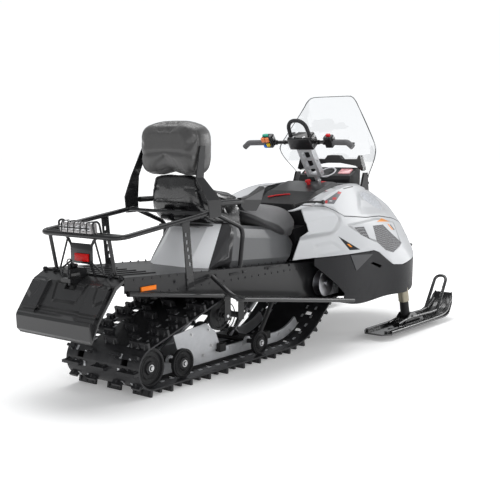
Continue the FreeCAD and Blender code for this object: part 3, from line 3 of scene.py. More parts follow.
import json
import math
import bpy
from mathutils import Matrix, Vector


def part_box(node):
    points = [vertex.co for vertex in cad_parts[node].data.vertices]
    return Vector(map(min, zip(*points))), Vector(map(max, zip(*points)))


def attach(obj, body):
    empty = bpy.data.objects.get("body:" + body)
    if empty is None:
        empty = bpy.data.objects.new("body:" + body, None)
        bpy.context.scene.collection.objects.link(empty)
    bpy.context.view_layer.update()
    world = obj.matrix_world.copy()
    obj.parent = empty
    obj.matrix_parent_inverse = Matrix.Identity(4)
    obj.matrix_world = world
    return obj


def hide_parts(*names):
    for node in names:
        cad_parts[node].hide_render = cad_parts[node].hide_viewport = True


bl_info = {
    "name": "Utility Snowmobile",
    "version": (1, 0, 0),
    "blender": (4, 5, 0),
    "location": "3D Viewport > Sidebar > Snowmobile",
    "description": "Dresses a two-seat utility snowmobile: paint, vinyl, rubber, trim and studio",
    "category": "Object",
}

import bmesh
import bpy
import numpy as np
from bpy.props import FloatProperty, FloatVectorProperty, PointerProperty
from mathutils import Matrix, Vector

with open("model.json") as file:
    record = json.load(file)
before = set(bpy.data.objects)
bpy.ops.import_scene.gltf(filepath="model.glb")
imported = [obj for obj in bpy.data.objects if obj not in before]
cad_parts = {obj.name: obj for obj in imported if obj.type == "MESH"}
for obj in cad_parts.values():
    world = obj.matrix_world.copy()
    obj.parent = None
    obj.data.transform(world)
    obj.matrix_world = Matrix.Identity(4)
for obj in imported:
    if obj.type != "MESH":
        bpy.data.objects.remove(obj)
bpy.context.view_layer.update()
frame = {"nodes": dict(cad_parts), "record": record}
SHIFT = -1.145  # m from the middle of the machine to the rear idler's axle


# Nodes of a material

class Graph:
    """A node tree with short calls to add and join its nodes."""

    def __init__(self, tree):
        self.tree = tree

    def node(self, kind, inputs=None, **settings):
        made = self.tree.nodes.new("ShaderNode" + kind)
        for key, value in settings.items():
            setattr(made, key, value)
        self.fill(made, inputs or {})
        return made

    def fill(self, made, inputs):
        """Feeds a node's inputs, each by its name or place."""
        for key, value in inputs.items():
            self.feed(value, made.inputs[key])

    def feed(self, value, socket):
        if isinstance(value, bpy.types.NodeSocket):
            self.tree.links.new(value, socket)
        else:
            socket.default_value = value

    def math(self, operation, first, second=0.0, third=0.0, clamp=False):
        inputs = {0: first, 1: second, 2: third}
        return self.node("Math", inputs, operation=operation, use_clamp=clamp).outputs[0]

    def vector_math(self, operation, first, second=(0, 0, 0)):
        return self.node("VectorMath", {0: first, 1: second}, operation=operation).outputs

    def mix(self, factor, first, second):
        inputs = {"Factor": factor, "A": first, "B": second}
        return self.node("Mix", inputs, data_type="RGBA").outputs["Result"]

    def ramp(self, value, low, high):
        """0 below low and 1 above high, smooth between them."""
        inputs = {"Value": value, "From Min": low, "From Max": high}
        return self.node("MapRange", inputs, interpolation_type="SMOOTHSTEP").outputs["Result"]

    def place(self, stretch=(1, 1, 1)):
        """Coordinates of the piece, stretched."""
        coords = self.node("TexCoord").outputs["Object"]
        return self.node("Mapping", {"Vector": coords, "Scale": stretch}).outputs["Vector"]

    def noise(self, vector, scale, detail=3.0, rough=0.55):
        inputs = {"Vector": vector, "Scale": scale, "Detail": detail, "Roughness": rough}
        return self.node("TexNoise", inputs).outputs["Fac"]

    def bump(self, strength, distance, height, normal=None, **settings):
        """The normal over a height, on top of another normal if there is one."""
        inputs = {"Strength": strength, "Distance": distance, "Height": height}
        if normal:
            inputs["Normal"] = normal
        return self.node("Bump", inputs, **settings).outputs[0]


def new_group(name, inputs, outputs):
    """An empty node group with its named sockets, and a Graph to fill it."""
    tree = bpy.data.node_groups.new(name, "ShaderNodeTree")
    for title, kind, value in inputs:
        socket = tree.interface.new_socket(title, in_out="INPUT", socket_type="NodeSocket" + kind)
        if value is not None:
            socket.default_value = value
    for title, kind in outputs:
        tree.interface.new_socket(title, in_out="OUTPUT", socket_type="NodeSocket" + kind)
    source = tree.nodes.new("NodeGroupInput").outputs
    target = tree.nodes.new("NodeGroupOutput").inputs
    return Graph(tree), source, target


def edges_group():
    """Rounded look of an edge, and a mask of the edge broken up by scuffs."""
    graph, given, result = new_group(
        "Worn edges", (("Radius", "Float", 0.002), ("Break-up", "Float", 60.0)),
        (("Normal", "Vector"), ("Edge", "Float")))
    rounded = graph.node("Bevel", {"Radius": given["Radius"]}, samples=4).outputs[0]
    true = graph.node("NewGeometry").outputs["Normal"]
    turned = graph.math("SUBTRACT", 1.0, graph.vector_math("DOT_PRODUCT", rounded, true)["Value"])
    scuffs = graph.noise(graph.place(), given["Break-up"], 4.0, 0.7)
    edge = graph.math("MULTIPLY", graph.ramp(turned, 0.02, 0.25), graph.ramp(scuffs, 0.42, 0.62))
    graph.feed(rounded, result["Normal"])
    graph.feed(edge, result["Edge"])
    return graph.tree


def grain_group():
    """Fine moulded grain: a height, and a slow unevenness of colour and gloss."""
    graph, given, result = new_group(
        "Moulded grain", (("Scale", "Float", 900.0), ("Unevenness", "Float", 3.0)),
        (("Height", "Float"), ("Patches", "Float")))
    spot = graph.place()
    cells = graph.node("TexVoronoi", {"Vector": spot, "Scale": given["Scale"]}, feature="SMOOTH_F1")
    fine = graph.noise(spot, given["Scale"], 2.0)
    height = graph.math("ADD", graph.math("MULTIPLY", cells.outputs["Distance"], 0.6),
                        graph.math("MULTIPLY", fine, 0.4))
    graph.feed(height, result["Height"])
    graph.feed(graph.noise(spot, given["Unevenness"], 5.0, 0.6), result["Patches"])
    return graph.tree


def hide_group():
    """Vinyl grain: small rounded cells between fine creases."""
    graph, given, result = new_group(
        "Vinyl grain", (("Scale", "Float", 420.0), ("Creases", "Float", 26.0)),
        (("Height", "Float"), ("Folds", "Float")))
    spot = graph.place()
    wander = graph.node("TexNoise", {"Vector": spot, "Scale": given["Creases"], "Detail": 3.0})
    bent = graph.node("MixRGB", {0: 0.004, 1: spot, 2: wander.outputs["Color"]},
                      blend_type="LINEAR_LIGHT").outputs[0]
    cells = graph.node("TexVoronoi", {"Vector": bent, "Scale": given["Scale"]}, feature="DISTANCE_TO_EDGE")
    graph.feed(graph.ramp(cells.outputs["Distance"], 0.0, 0.22), result["Height"])
    graph.feed(graph.noise(spot, given["Creases"], 3.0, 0.6), result["Folds"])
    return graph.tree


def brushed_group():
    """Fine parallel scratches along one way of the piece."""
    graph, given, result = new_group(
        "Brushed metal", (("Scratches", "Float", 240.0), ("Stretch", "Vector", (1.0, 30.0, 30.0))),
        (("Height", "Float"), ("Stain", "Float")))
    coords = graph.node("TexCoord").outputs["Object"]
    long = graph.vector_math("MULTIPLY", coords, given["Stretch"])[0]
    fine = graph.math("DIVIDE", given["Scratches"], 30.0)
    graph.feed(graph.noise(long, fine, 3.0, 0.7), result["Height"])
    graph.feed(graph.noise(coords, 14.0, 5.0, 0.7), result["Stain"])
    return graph.tree


def grime_group():
    """Dust and road film that gathers low down and in patches."""
    graph, given, result = new_group(
        "Dust", (("Low", "Float", 0.05), ("High", "Float", 0.55), ("Spots", "Float", 22.0)),
        (("Dust", "Float"),))
    spot = graph.place()
    height = graph.node("SeparateXYZ", {"Vector": spot}).outputs["Z"]
    fall = graph.math("SUBTRACT", 1.0, graph.ramp(height, given["Low"], given["High"]))
    patch = graph.ramp(graph.noise(spot, given["Spots"], 6.0, 0.65), 0.45, 0.75)
    graph.feed(graph.math("MULTIPLY", fall, patch), result["Dust"])
    return graph.tree


def half_plane_group():
    """1 on the inner side of a line, with a soft edge."""
    graph, given, result = new_group(
        "Inner side", (("Place", "Vector", None), ("Across", "Vector", (1.0, 0.0, 0.0)),
                       ("Offset", "Float", 0.0), ("Soft", "Float", 0.001)), (("Inside", "Float"),))
    along = graph.vector_math("DOT_PRODUCT", given["Place"], given["Across"])["Value"]
    away = graph.math("SUBTRACT", along, given["Offset"])
    graph.feed(graph.ramp(away, 0.0, given["Soft"]), result["Inside"])
    return graph.tree


GROUPS = {}
MATERIALS = {}
DUST_ON_PLASTIC = (0.22, 0.22, 0.225, 1)
DUST_ON_METAL = (0.12, 0.11, 0.10, 1)


def group_node(graph, name, **values):
    """Places one of the shared effects, with this material's own values."""
    makers = {"Worn edges": edges_group, "Moulded grain": grain_group, "Vinyl grain": hide_group,
              "Brushed metal": brushed_group, "Dust": grime_group, "Inner side": half_plane_group}
    if name not in GROUPS:
        GROUPS[name] = makers[name]()
    made = graph.node("Group", node_tree=GROUPS[name])
    for title, value in values.items():
        graph.feed(value, made.inputs[title.replace("_", " ")])
    return made.outputs


def inside(graph, spot, corners, soft=0.0012, axes="XZ"):
    """1 inside a convex outline: its corners are in mm along two axes, X from the rear idler's axle."""
    shift = SHIFT if axes[0] == "X" else 0.0
    points = [Vector((first / 1000 + shift, second / 1000)) for first, second in corners]
    middle = sum(points, Vector((0, 0))) / len(points)
    mask = 1.0
    for start, end in zip(points, points[1:] + points[:1]):
        across = Vector((start.y - end.y, end.x - start.x)).normalized()
        if (middle - start).dot(across) < 0:
            across = -across
        spread = {"X": 0.0, "Y": 0.0, "Z": 0.0}
        spread[axes[0]], spread[axes[1]] = across
        side = group_node(graph, "Inner side", Place=spot, Across=tuple(spread.values()),
                          Offset=start.dot(across), Soft=soft)
        mask = graph.math("MULTIPLY", mask, side["Inside"])
    return mask


def painted(shapes):
    """A paint that lays coloured outlines on a base, decals and painted shade and highlights alike: each is a
    colour and its corners.
    """
    def paint(graph, base):
        spot = graph.place()
        for colour, corners in shapes:
            base = graph.mix(inside(graph, spot, corners), base, plain(colour))
        return base
    return paint


def pressed(shapes, axes="XZ"):
    """A relief pressed into a skin: each shape is a height, the width of its slope and its corners."""
    def relief(graph):
        spot = graph.place()
        height = 0.0
        for rise, soft, corners in shapes:
            height = graph.math("MULTIPLY_ADD", inside(graph, spot, corners, soft, axes), rise, height)
        return height
    return relief


# Outlines painted or pressed on the skins: decals, painted shade, painted highlights and pressed reliefs.
# Corners are in mm, heights and slopes in m.
# The near black below serves the decals and also the painted shade on the seat's sides.
INK_AND_SHADE, RED, AMBER = (0.015, 0.015, 0.017), (0.42, 0.02, 0.025), (0.82, 0.28, 0.02)
LIVERY = (
    (INK_AND_SHADE, ((1860, 905), (2100, 880), (2100, 1000), (1860, 1000))),
    ((0.10, 0.10, 0.11), ((1272, 853), (1389, 843), (1510, 906), (1478, 914))),
    (RED, ((1272, 853), (1330, 849), (1345, 866), (1330, 868))),
    (RED, ((1385, 868), (1425, 866), (1440, 880), (1402, 882))),
    (RED, ((1455, 900), (1488, 895), (1510, 906), (1478, 914))),
    ((0.5, 0.5, 0.52), ((1352, 860), (1380, 858), (1390, 864), (1362, 867))),
    (INK_AND_SHADE, ((1540, 922), (1670, 930), (1666, 937), (1538, 928))),
    (INK_AND_SHADE, ((1371, 664), (1462, 574), (1559, 570))),
    (AMBER, ((1442, 612), (1470, 592), (1490, 590), (1462, 611))),
    (AMBER, ((1823, 714), (1926, 730), (2040, 700))),
    (AMBER, ((1978, 690), (2000, 690), (2040, 650), (2018, 650))),
    (INK_AND_SHADE, ((2012, 686), (2030, 684), (2064, 645), (2046, 647))),
)
# Painted shade: the steep sides of the driver's seat are drawn darker than its top.
SEAT_SIDE_SHADE = (
    (INK_AND_SHADE, ((700, 856), (764, 830), (891, 777), (891, 560), (700, 560))),
    (INK_AND_SHADE, ((891, 778), (1025, 741), (1074, 700), (1060, 560), (891, 560))),
)
# Painted shade: one facet of the base insert is drawn darker than the rest.
INSERT_PAINTED_SHADE = (
    ((0.010, 0.010, 0.011), ((350, 520), (420, 520), (575, 790), (500, 790))),
)
# Painted highlight: the lit top bevel and front facet of the grab handles, drawn lighter than the black.
HANDLE_PAINTED_HIGHLIGHTS = (
    ((0.085, 0.085, 0.088), ((455, 908), (637, 900), (842, 960), (862, 925), (790, 880), (640, 866),
                             (455, 874))),
)
# Painted highlight and painted shade on the belly pan: one facet drawn lighter, one drawn darker.
PAN_PAINTED_LIGHT_AND_SHADE = (
    ((0.07, 0.07, 0.074), ((1466, 545), (1690, 533), (1527, 444))),
    ((0.012, 0.012, 0.013), ((1672, 480), (1786, 452), (1770, 438), (1700, 462))),
)
CREASES = (
    (0.034, 0.050, ((1000, 640), (1171, 642), (1345, 655), (1440, 748), (1400, 830), (1300, 860),
                    (1000, 860))),
    (-0.009, 0.030, ((1178, 632), (1335, 646), (1470, 560), (1240, 540), (1195, 560))),
    (-0.017, 0.018, ((1440, 728), (1840, 742), (2110, 700), (2075, 560), (1925, 500), (1680, 612),
                     (1528, 648))),
    (0.020, 0.060, ((1600, 765), (2150, 735), (2010, 880), (1680, 912))),
)
FLAP_RELIEF = (
    (-0.048, 0.018, ((-115, 560), (115, 560), (84, 466), (-84, 466))),
    (-0.048, 0.018, ((178, 562), (276, 562), (276, 500), (214, 470), (188, 500))),
    (-0.048, 0.018, ((-178, 562), (-276, 562), (-276, 500), (-214, 470), (-188, 500))),
    (0.022, 0.012, ((-276, 448), (276, 448), (276, 424), (-276, 424))),
)


def plain(colour):
    return (*colour[:3], 1.0)


def shade(colour, by):
    return plain([min(1.0, max(0.0, c * by)) for c in colour[:3]])


def new_material(name):
    """A material with its Principled shader, and a Graph to fill it."""
    made = bpy.data.materials.new(name)
    made.use_nodes = True
    MATERIALS[name] = made
    return made, Graph(made.node_tree), made.node_tree.nodes["Principled BSDF"]


def moulded(name, colour, rough, metallic=0.0, coat=0.0, grain=900.0, depth=0.15, wear=0.35, worn=None,
            radius=0.002, uneven=0.12, dust=0.04, paint=None, relief=None):
    """Paint or moulded plastic: grain, patches, worn edges and a little dust."""
    _, graph, shader = new_material(name)
    edges = group_node(graph, "Worn edges", Radius=radius)
    field = group_node(graph, "Moulded grain", Scale=grain)
    film = group_node(graph, "Dust")
    base = graph.mix(field["Patches"], shade(colour, 1 - uneven), shade(colour, 1 + uneven))
    if paint:
        base = paint(graph, base)
    base = graph.mix(graph.math("MULTIPLY", edges["Edge"], wear), base, plain(worn or shade(colour, 2.2)))
    base = graph.mix(graph.math("MULTIPLY", film["Dust"], dust), base, DUST_ON_PLASTIC)
    shine = graph.math("MULTIPLY_ADD", field["Patches"], 0.16, rough - 0.08)
    normal = edges["Normal"]
    if relief:
        normal = graph.bump(1.0, 1.0, relief(graph), normal)
    graph.fill(shader, {
        "Base Color": base,
        "Roughness": graph.math("MULTIPLY_ADD", film["Dust"], 0.2, shine, clamp=True),
        "Normal": graph.bump(depth, 0.0006, field["Height"], normal),
        "Metallic": metallic,
        "Specular IOR Level": 0.5 if coat > 0.5 else 0.2,
        "Coat Weight": coat,
        "Coat Roughness": 0.06,
    })


def vinyl(name, colour, rough, sheen=0.15, depth=0.35, coat=0.0, paint=None):
    """Seat vinyl: grain cells with painted shade in their creases, soft folds and a slight sheen."""
    _, graph, shader = new_material(name)
    hide = group_node(graph, "Vinyl grain")
    edges = group_node(graph, "Worn edges", Radius=0.004)
    base = graph.mix(hide["Folds"], shade(colour, 0.8), shade(colour, 1.2))
    # Painted shade: the grain's creases are drawn darker.
    base = graph.mix(graph.math("MULTIPLY_ADD", hide["Height"], 0.4, 0.6), shade(colour, 0.62), base)
    if paint:
        base = paint(graph, base)
    soft = graph.bump(0.25, 0.004, hide["Folds"], edges["Normal"])
    graph.fill(shader, {
        "Base Color": base,
        "Roughness": graph.math("MULTIPLY_ADD", hide["Folds"], 0.2, rough - 0.1),
        "Normal": graph.bump(depth, 0.0005, hide["Height"], soft),
        "Sheen Weight": sheen,
        "Coat Weight": coat,
        "Coat Roughness": 0.12,
    })


def metal(name, colour, rough, stretch=(1.0, 30.0, 30.0), depth=0.2, metallic=1.0, dust=0.2):
    """Bare metal with parallel scratches and stains."""
    _, graph, shader = new_material(name)
    brushed = group_node(graph, "Brushed metal", Stretch=stretch)
    edges = group_node(graph, "Worn edges", Radius=0.0015)
    film = group_node(graph, "Dust", High=0.4)
    base = graph.mix(brushed["Stain"], shade(colour, 0.72), shade(colour, 1.15))
    graph.fill(shader, {
        "Base Color": graph.mix(graph.math("MULTIPLY", film["Dust"], dust), base, DUST_ON_METAL),
        "Roughness": graph.math("MULTIPLY_ADD", brushed["Stain"], 0.25, rough - 0.1),
        "Normal": graph.bump(depth, 0.0003, brushed["Height"], edges["Normal"]),
        "Metallic": metallic,
    })


def clear(name, colour, rough=0.02):
    """Clear plastic or glass with a faint smear."""
    _, graph, shader = new_material(name)
    smear = graph.ramp(graph.noise(graph.place(), 9.0, 6.0, 0.7), 0.5, 0.8)
    graph.fill(shader, {
        "Base Color": plain(colour),
        "Roughness": graph.math("MULTIPLY_ADD", smear, 0.05, rough),
        "Transmission Weight": 1.0,
        "IOR": 1.45,
    })


def lamp(name, colour, cell=0.006, glow=0.0):
    """A moulded lens with a prism pattern."""
    _, graph, shader = new_material(name)
    prisms = graph.node("TexVoronoi", {"Vector": graph.place(), "Scale": 1 / cell}, feature="F1",
                        distance="CHEBYCHEV").outputs["Distance"]
    graph.fill(shader, {
        "Base Color": graph.mix(prisms, shade(colour, 1.25), shade(colour, 0.55)),
        "Normal": graph.bump(0.5, 0.001, prisms),
        "Roughness": 0.12,
        "Coat Weight": 0.8,
        "Emission Color": plain(colour),
        "Emission Strength": glow,
    })


def woven_mesh(name, colour):
    """Expanded mesh of a grille: rows of holes between thin strands, the holes drawn dark as a painted shade of
    the space behind.
    """
    _, graph, shader = new_material(name)
    spot = graph.place((1.0, 1.0, 1.35))
    cells = graph.node("TexVoronoi", {"Vector": spot, "Scale": 230.0, "Randomness": 0.0},
                       feature="DISTANCE_TO_EDGE")
    hole = graph.ramp(cells.outputs["Distance"], 0.10, 0.2)
    graph.fill(shader, {
        # Painted shade: the holes are drawn nearly black.
        "Base Color": graph.mix(hole, shade(colour, 3.4), shade(colour, 0.18)),
        "Normal": graph.bump(0.9, 0.002, hole, invert=True),
        "Roughness": 0.5,
    })


def make_finishes(colours):
    """A material for each of the record's slots, and for the small pieces."""
    white, black = colours.body, colours.trim
    paintwork = {"grain": 1500.0, "depth": 0.02, "wear": 0.0, "uneven": 0.02, "dust": 0.05}
    moulded("body_white", white, 0.34, coat=0.12, radius=0.003, paint=painted(LIVERY),
            relief=pressed(CREASES), **paintwork)
    # A lighter copy of the body's white: painted light that brightens the tail cowl where the hump's shadow
    # falls on it.
    moulded("cowl_white_painted_light", (0.84, 0.85, 0.87), 0.3, coat=0.3, **paintwork)
    moulded("base_grey", (0.135, 0.138, 0.142), 0.34, coat=0.25, depth=0.12, wear=0.1)
    # The insert carries a painted shade on one facet.
    moulded("insert_black", (0.045, 0.045, 0.047), 0.3, coat=0.4, depth=0.1, wear=0.1, dust=0.02,
            paint=painted(INSERT_PAINTED_SHADE))
    moulded("console_black", (0.012, 0.012, 0.013), 0.32, coat=0.15, depth=0.1, wear=0.1, dust=0.02)
    # The pan carries a painted highlight and a painted shade on its facets.
    moulded("pan_plastic", (0.014, 0.014, 0.016), 0.45, depth=0.35, grain=700.0, wear=0.2, dust=0.0,
            paint=painted(PAN_PAINTED_LIGHT_AND_SHADE))
    moulded("flap_plastic", (0.024, 0.024, 0.025), 0.3, coat=0.5, depth=0.8, grain=420.0,
            relief=pressed(FLAP_RELIEF, "YZ"))
    # The grab handles carry a painted highlight on their top bevel and front facet.
    moulded("frame_black", black, 0.28, coat=0.4, depth=0.05, wear=0.15, dust=0.02,
            paint=painted(HANDLE_PAINTED_HIGHLIGHTS))
    moulded("deck_black", black, 0.34, coat=0.2, depth=0.12, wear=0.2, dust=0.03)
    moulded("spindle_black", black, 0.4, depth=0.1)
    moulded("screen_black", (0.008, 0.008, 0.009), 0.3, coat=0.2, depth=0.02, wear=0.0, dust=0.0)
    moulded("switch_black", black, 0.4, depth=0.15)
    moulded("ski_black", (0.012, 0.012, 0.013), 0.22, coat=0.8, depth=0.03, wear=0.15)
    moulded("slider_plastic", (0.02, 0.02, 0.02), 0.5)
    moulded("wheel_black", (0.014, 0.014, 0.015), 0.34, depth=0.1, wear=0.25)
    moulded("arm_metal", (0.05, 0.05, 0.052), 0.35, coat=0.2, wear=0.4)
    moulded("track_rubber", colours.rubber, 0.45, coat=0.25, depth=0.5, grain=420.0, wear=0.3,
            worn=(0.10, 0.10, 0.10), dust=0.1)
    moulded("grip_grey", (0.12, 0.12, 0.125), 0.6, depth=0.5, grain=600.0)
    moulded("grip_black", (0.03, 0.03, 0.032), 0.55, depth=0.4, grain=600.0)
    # The seat's sides carry a painted shade.
    vinyl("seat_grey", colours.seat, 0.42, depth=0.25, paint=painted(SEAT_SIDE_SHADE))
    vinyl("seat_black", (0.009, 0.009, 0.010), 0.26, sheen=0.0, depth=0.08, coat=0.7)
    vinyl("pad_grey", colours.pad, 0.36, depth=0.15, coat=0.15)
    metal("riser_metal", (0.60, 0.61, 0.63), 0.42, (30.0, 1.0, 30.0), metallic=0.25, dust=0.0)
    metal("rail_metal", (0.60, 0.61, 0.63), 0.4, metallic=0.5, dust=0.1)
    metal("engine_metal", (0.28, 0.28, 0.3), 0.5, (20.0, 20.0, 20.0))
    metal("shock_metal", (0.5, 0.5, 0.52), 0.3, (30.0, 30.0, 1.0))
    metal("strut_metal", (0.34, 0.31, 0.24), 0.35, (30.0, 30.0, 1.0), metallic=0.8)
    metal("bolt_zinc", (0.66, 0.66, 0.67), 0.3, dust=0.1)
    moulded("bolt_black", (0.03, 0.03, 0.032), 0.3, metallic=0.6, wear=0.5)
    woven_mesh("mesh_black", (0.07, 0.07, 0.073))
    lamp("lamp_red", (0.42, 0.40, 0.40), 0.011)
    lamp("lamp_clear", (0.60, 0.62, 0.66), 0.013)
    lamp("gauge_lens", (0.80, 0.36, 0.38), 0.02, 0.05)
    moulded("gauge_rim", (0.62, 0.62, 0.64), 0.3, coat=0.4, wear=0.0, dust=0.05)
    clear("screen_clear", (0.90, 0.905, 0.91))
    for name, colour in (("red", (0.50, 0.004, 0.004)), ("amber", (0.85, 0.19, 0.003))):
        moulded(f"reflector_{name}", colour, 0.3, grain=260.0, depth=0.4, wear=0.0)
    for name, colour in (("orange", (0.85, 0.24, 0.08)), ("green", (0.03, 0.38, 0.26)),
                         ("yellow", (0.85, 0.58, 0.02)), ("blue", (0.02, 0.16, 0.62)),
                         ("red", (0.62, 0.02, 0.025))):
        moulded(f"button_{name}", colour, 0.4, wear=0.0, dust=0.05)


# Settings that a user would change

def colour_setting(name, about, value):
    return FloatVectorProperty(name=name, description=about, subtype="COLOR", default=value)


class SnowmobileColours(bpy.types.PropertyGroup):
    body: colour_setting("Body", "Painted body panels", (0.53, 0.54, 0.555))
    trim: colour_setting("Trim", "Tubes, deck and console", (0.013, 0.013, 0.014))
    seat: colour_setting("Seat", "Driver's seat vinyl", (0.10, 0.10, 0.104))
    pad: colour_setting("Pad", "Backrest vinyl", (0.050, 0.049, 0.049))
    rubber: colour_setting("Rubber", "Track rubber", (0.022, 0.022, 0.024))
    floor: colour_setting("Floor", "Studio floor", (0.93, 0.93, 0.93))


class SnowmobileStudio(bpy.types.PropertyGroup):
    eye: FloatVectorProperty(name="Eye", description="Place of the camera", subtype="TRANSLATION",
                             unit="LENGTH", default=(-4.0606, -3.0608, 1.1677))
    heading: FloatProperty(name="Heading", description="Camera's heading from +X towards +Y", subtype="ANGLE",
                           default=math.radians(38.043))
    tilt: FloatProperty(name="Tilt", description="Camera's tilt below the horizon", subtype="ANGLE",
                        default=math.radians(7.470))
    lens: FloatProperty(name="Lens", description="Focal length, mm on a 36 mm frame", default=63.32)


def settings():
    return bpy.context.scene.snowmobile_colours, bpy.context.scene.snowmobile_studio


# The studio

LIGHTS = (
    ("sky_panel", (0.6, 0.6, 5.5), 250, (5.0, 5.0)),
    ("side_panel", (-3.6, -5.0, 2.6), 75, (2.6, 1.6)),
    ("front_panel", (5.5, -3.0, 2.4), 90, (3.0, 1.6)),
)
LIT_PLACE = Vector((0, 0, 0.6))
CAMERA_SHIFT = (0.01344, 0.02502)


def linked(name, data):
    """A new object of the scene."""
    made = bpy.data.objects.new(name, data)
    bpy.context.scene.collection.objects.link(made)
    return made


def mesh_from(name, form):
    """The mesh of a bmesh, which it uses up."""
    mesh = bpy.data.meshes.new(name)
    form.to_mesh(mesh)
    form.free()
    return mesh


def aim(made, place, along):
    made.location = place
    made.rotation_euler = along.to_track_quat("-Z", "Y").to_euler()


def add_floor(colours):
    """A wide floor whose glow grows with the distance: the dimmer glow near the machine is a painted shade round
    it.
    """
    sheet = bmesh.new()
    bmesh.ops.create_grid(sheet, x_segments=1, y_segments=1, size=60.0)
    floor = linked("floor", mesh_from("floor", sheet))
    paint, graph, shader = new_material("studio_floor")
    tone = graph.noise(graph.place(), 0.8, 2.0)
    away = graph.vector_math("LENGTH", graph.place())["Value"]
    graph.fill(shader, {
        "Base Color": graph.mix(tone, shade(colours.floor, 0.99), shade(colours.floor, 1.01)),
        "Roughness": 0.9,
        "Specular IOR Level": 0.1,
        # Painted shade: the floor glows less within a few metres of the machine.
        "Emission Color": graph.mix(graph.ramp(away, 1.2, 4.0), (0.22, 0.22, 0.22, 1), (0.85, 0.85, 0.85, 1)),
        "Emission Strength": 1.0,
    })
    floor.data.materials.append(paint)


def add_air(scene):
    """A pale sky, brighter to the camera than to the machine."""
    scene.world = bpy.data.worlds.new("studio_air")
    scene.world.use_nodes = True
    air = Graph(scene.world.node_tree)
    path = air.node("LightPath").outputs
    seen = air.math("MAXIMUM", path["Is Camera Ray"], path["Is Transmission Ray"])
    strength = air.math("MULTIPLY_ADD", seen, 0.62, 0.42)
    background = scene.world.node_tree.nodes["Background"]
    air.fill(background, {"Color": (0.97, 0.985, 1.0, 1), "Strength": strength})


class SNOWMOBILE_OT_studio(bpy.types.Operator):
    """Floor, soft lights and the camera at the photograph's angle"""
    bl_idname = "snowmobile.studio"
    bl_label = "Studio"

    def execute(self, context):
        colours, studio = settings()
        scene = context.scene
        add_floor(colours)
        add_air(scene)
        for name, place, power, (wide, high) in LIGHTS:
            data = bpy.data.lights.new(name, "AREA")
            data.energy = power
            data.shape = "RECTANGLE"
            data.size = wide
            data.size_y = high
            aim(linked(name, data), place, LIT_PLACE - Vector(place))
        scene.view_settings.view_transform = "Standard"
        data = bpy.data.cameras.new("camera")
        data.lens = studio.lens
        data.sensor_width = 36.0
        data.shift_x, data.shift_y = CAMERA_SHIFT
        scene.camera = linked("camera", data)
        level = math.cos(studio.tilt)
        ahead = (level * math.cos(studio.heading), level * math.sin(studio.heading), -math.sin(studio.tilt))
        aim(scene.camera, studio.eye, Vector(ahead))
        return {"FINISHED"}


class SNOWMOBILE_OT_finishes(bpy.types.Operator):
    """Paint, plastic, rubber and metal on the machine's own solids"""
    bl_idname = "snowmobile.finishes"
    bl_label = "Finishes"

    def execute(self, context):
        colours, _ = settings()
        make_finishes(colours)
        slots = {part["node"]: part["material_slot"] for part in frame["record"]["subparts"]}
        for name, node in frame["nodes"].items():
            node.data.materials.clear()
            node.data.materials.append(MATERIALS[slots[name]])
        return {"FINISHED"}


# Making pieces

def built(name, form, finish, body="chassis", stands_for=(), smooth=35.0):
    """A finished piece from a bmesh, shaded smooth up to an angle, riding on its body."""
    made = linked(name, mesh_from(name, form))
    made.data.materials.append(MATERIALS[finish])
    if smooth:
        made.data.shade_smooth()
        made.data.set_sharp_from_angle(angle=math.radians(smooth))
    for node in stands_for:
        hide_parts(node)
    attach(made, body)


def at(x, y, z):
    """A point from millimetres forward of the rear idler's axle, left and up."""
    return Vector((x / 1000 + SHIFT, y / 1000, z / 1000))


def facing(place, axis):
    """The matrix that stands a shape at a place with its own Z along an axis."""
    return Matrix.Translation(place) @ Vector(axis).to_track_quat("Z", "Y").to_matrix().to_4x4()


def edges_of(made):
    return list({edge for vert in made["verts"] for edge in vert.link_edges})


def add_rod(form, start, end, radius, sides=16, tip=None):
    """A round bar, or a cone if its tip has another radius."""
    along = end - start
    bmesh.ops.create_cone(form, cap_ends=True, segments=sides, radius1=radius,
                          radius2=radius if tip is None else tip, depth=along.length,
                          matrix=facing((start + end) / 2, along))


def add_block(form, place, size, turn=Matrix(), round_by=0.0, steps=2):
    """A block by its middle and its three lengths, its edges rounded."""
    matrix = Matrix.Translation(place) @ turn @ Matrix.Diagonal((*size, 1))
    block = bmesh.ops.create_cube(form, size=1.0, matrix=matrix)
    if round_by:
        bmesh.ops.bevel(form, geom=edges_of(block), offset=round_by, segments=steps, profile=0.5,
                        affect="EDGES", material=-1, clamp_overlap=True)


def add_bolt(form, place, axis, radius=0.006, washer=1.7):
    """A hexagon bolt head on its washer, standing out along an axis."""
    out = Vector(axis).normalized()
    add_rod(form, place, place + out * 0.0016, radius * washer, 20)
    add_rod(form, place + out * 0.0014, place + out * (0.0014 + radius * 0.8), radius, 6, radius * 0.94)


def add_ring(form, place, axis, radius, thick, steps=32, sides=10):
    """A round ring of round section."""
    turn = facing(place, axis)
    matrix = turn @ Matrix.Translation((radius, 0, 0)) @ Matrix.Rotation(math.pi / 2, 4, "X")
    circle = bmesh.ops.create_circle(form, segments=sides, radius=thick, matrix=matrix)
    bmesh.ops.spin(form, geom=edges_of(circle), cent=place, axis=turn.to_3x3() @ Vector((0, 0, 1)),
                   angle=math.tau, steps=steps, use_merge=True)
    bmesh.ops.recalc_face_normals(form, faces=form.faces)


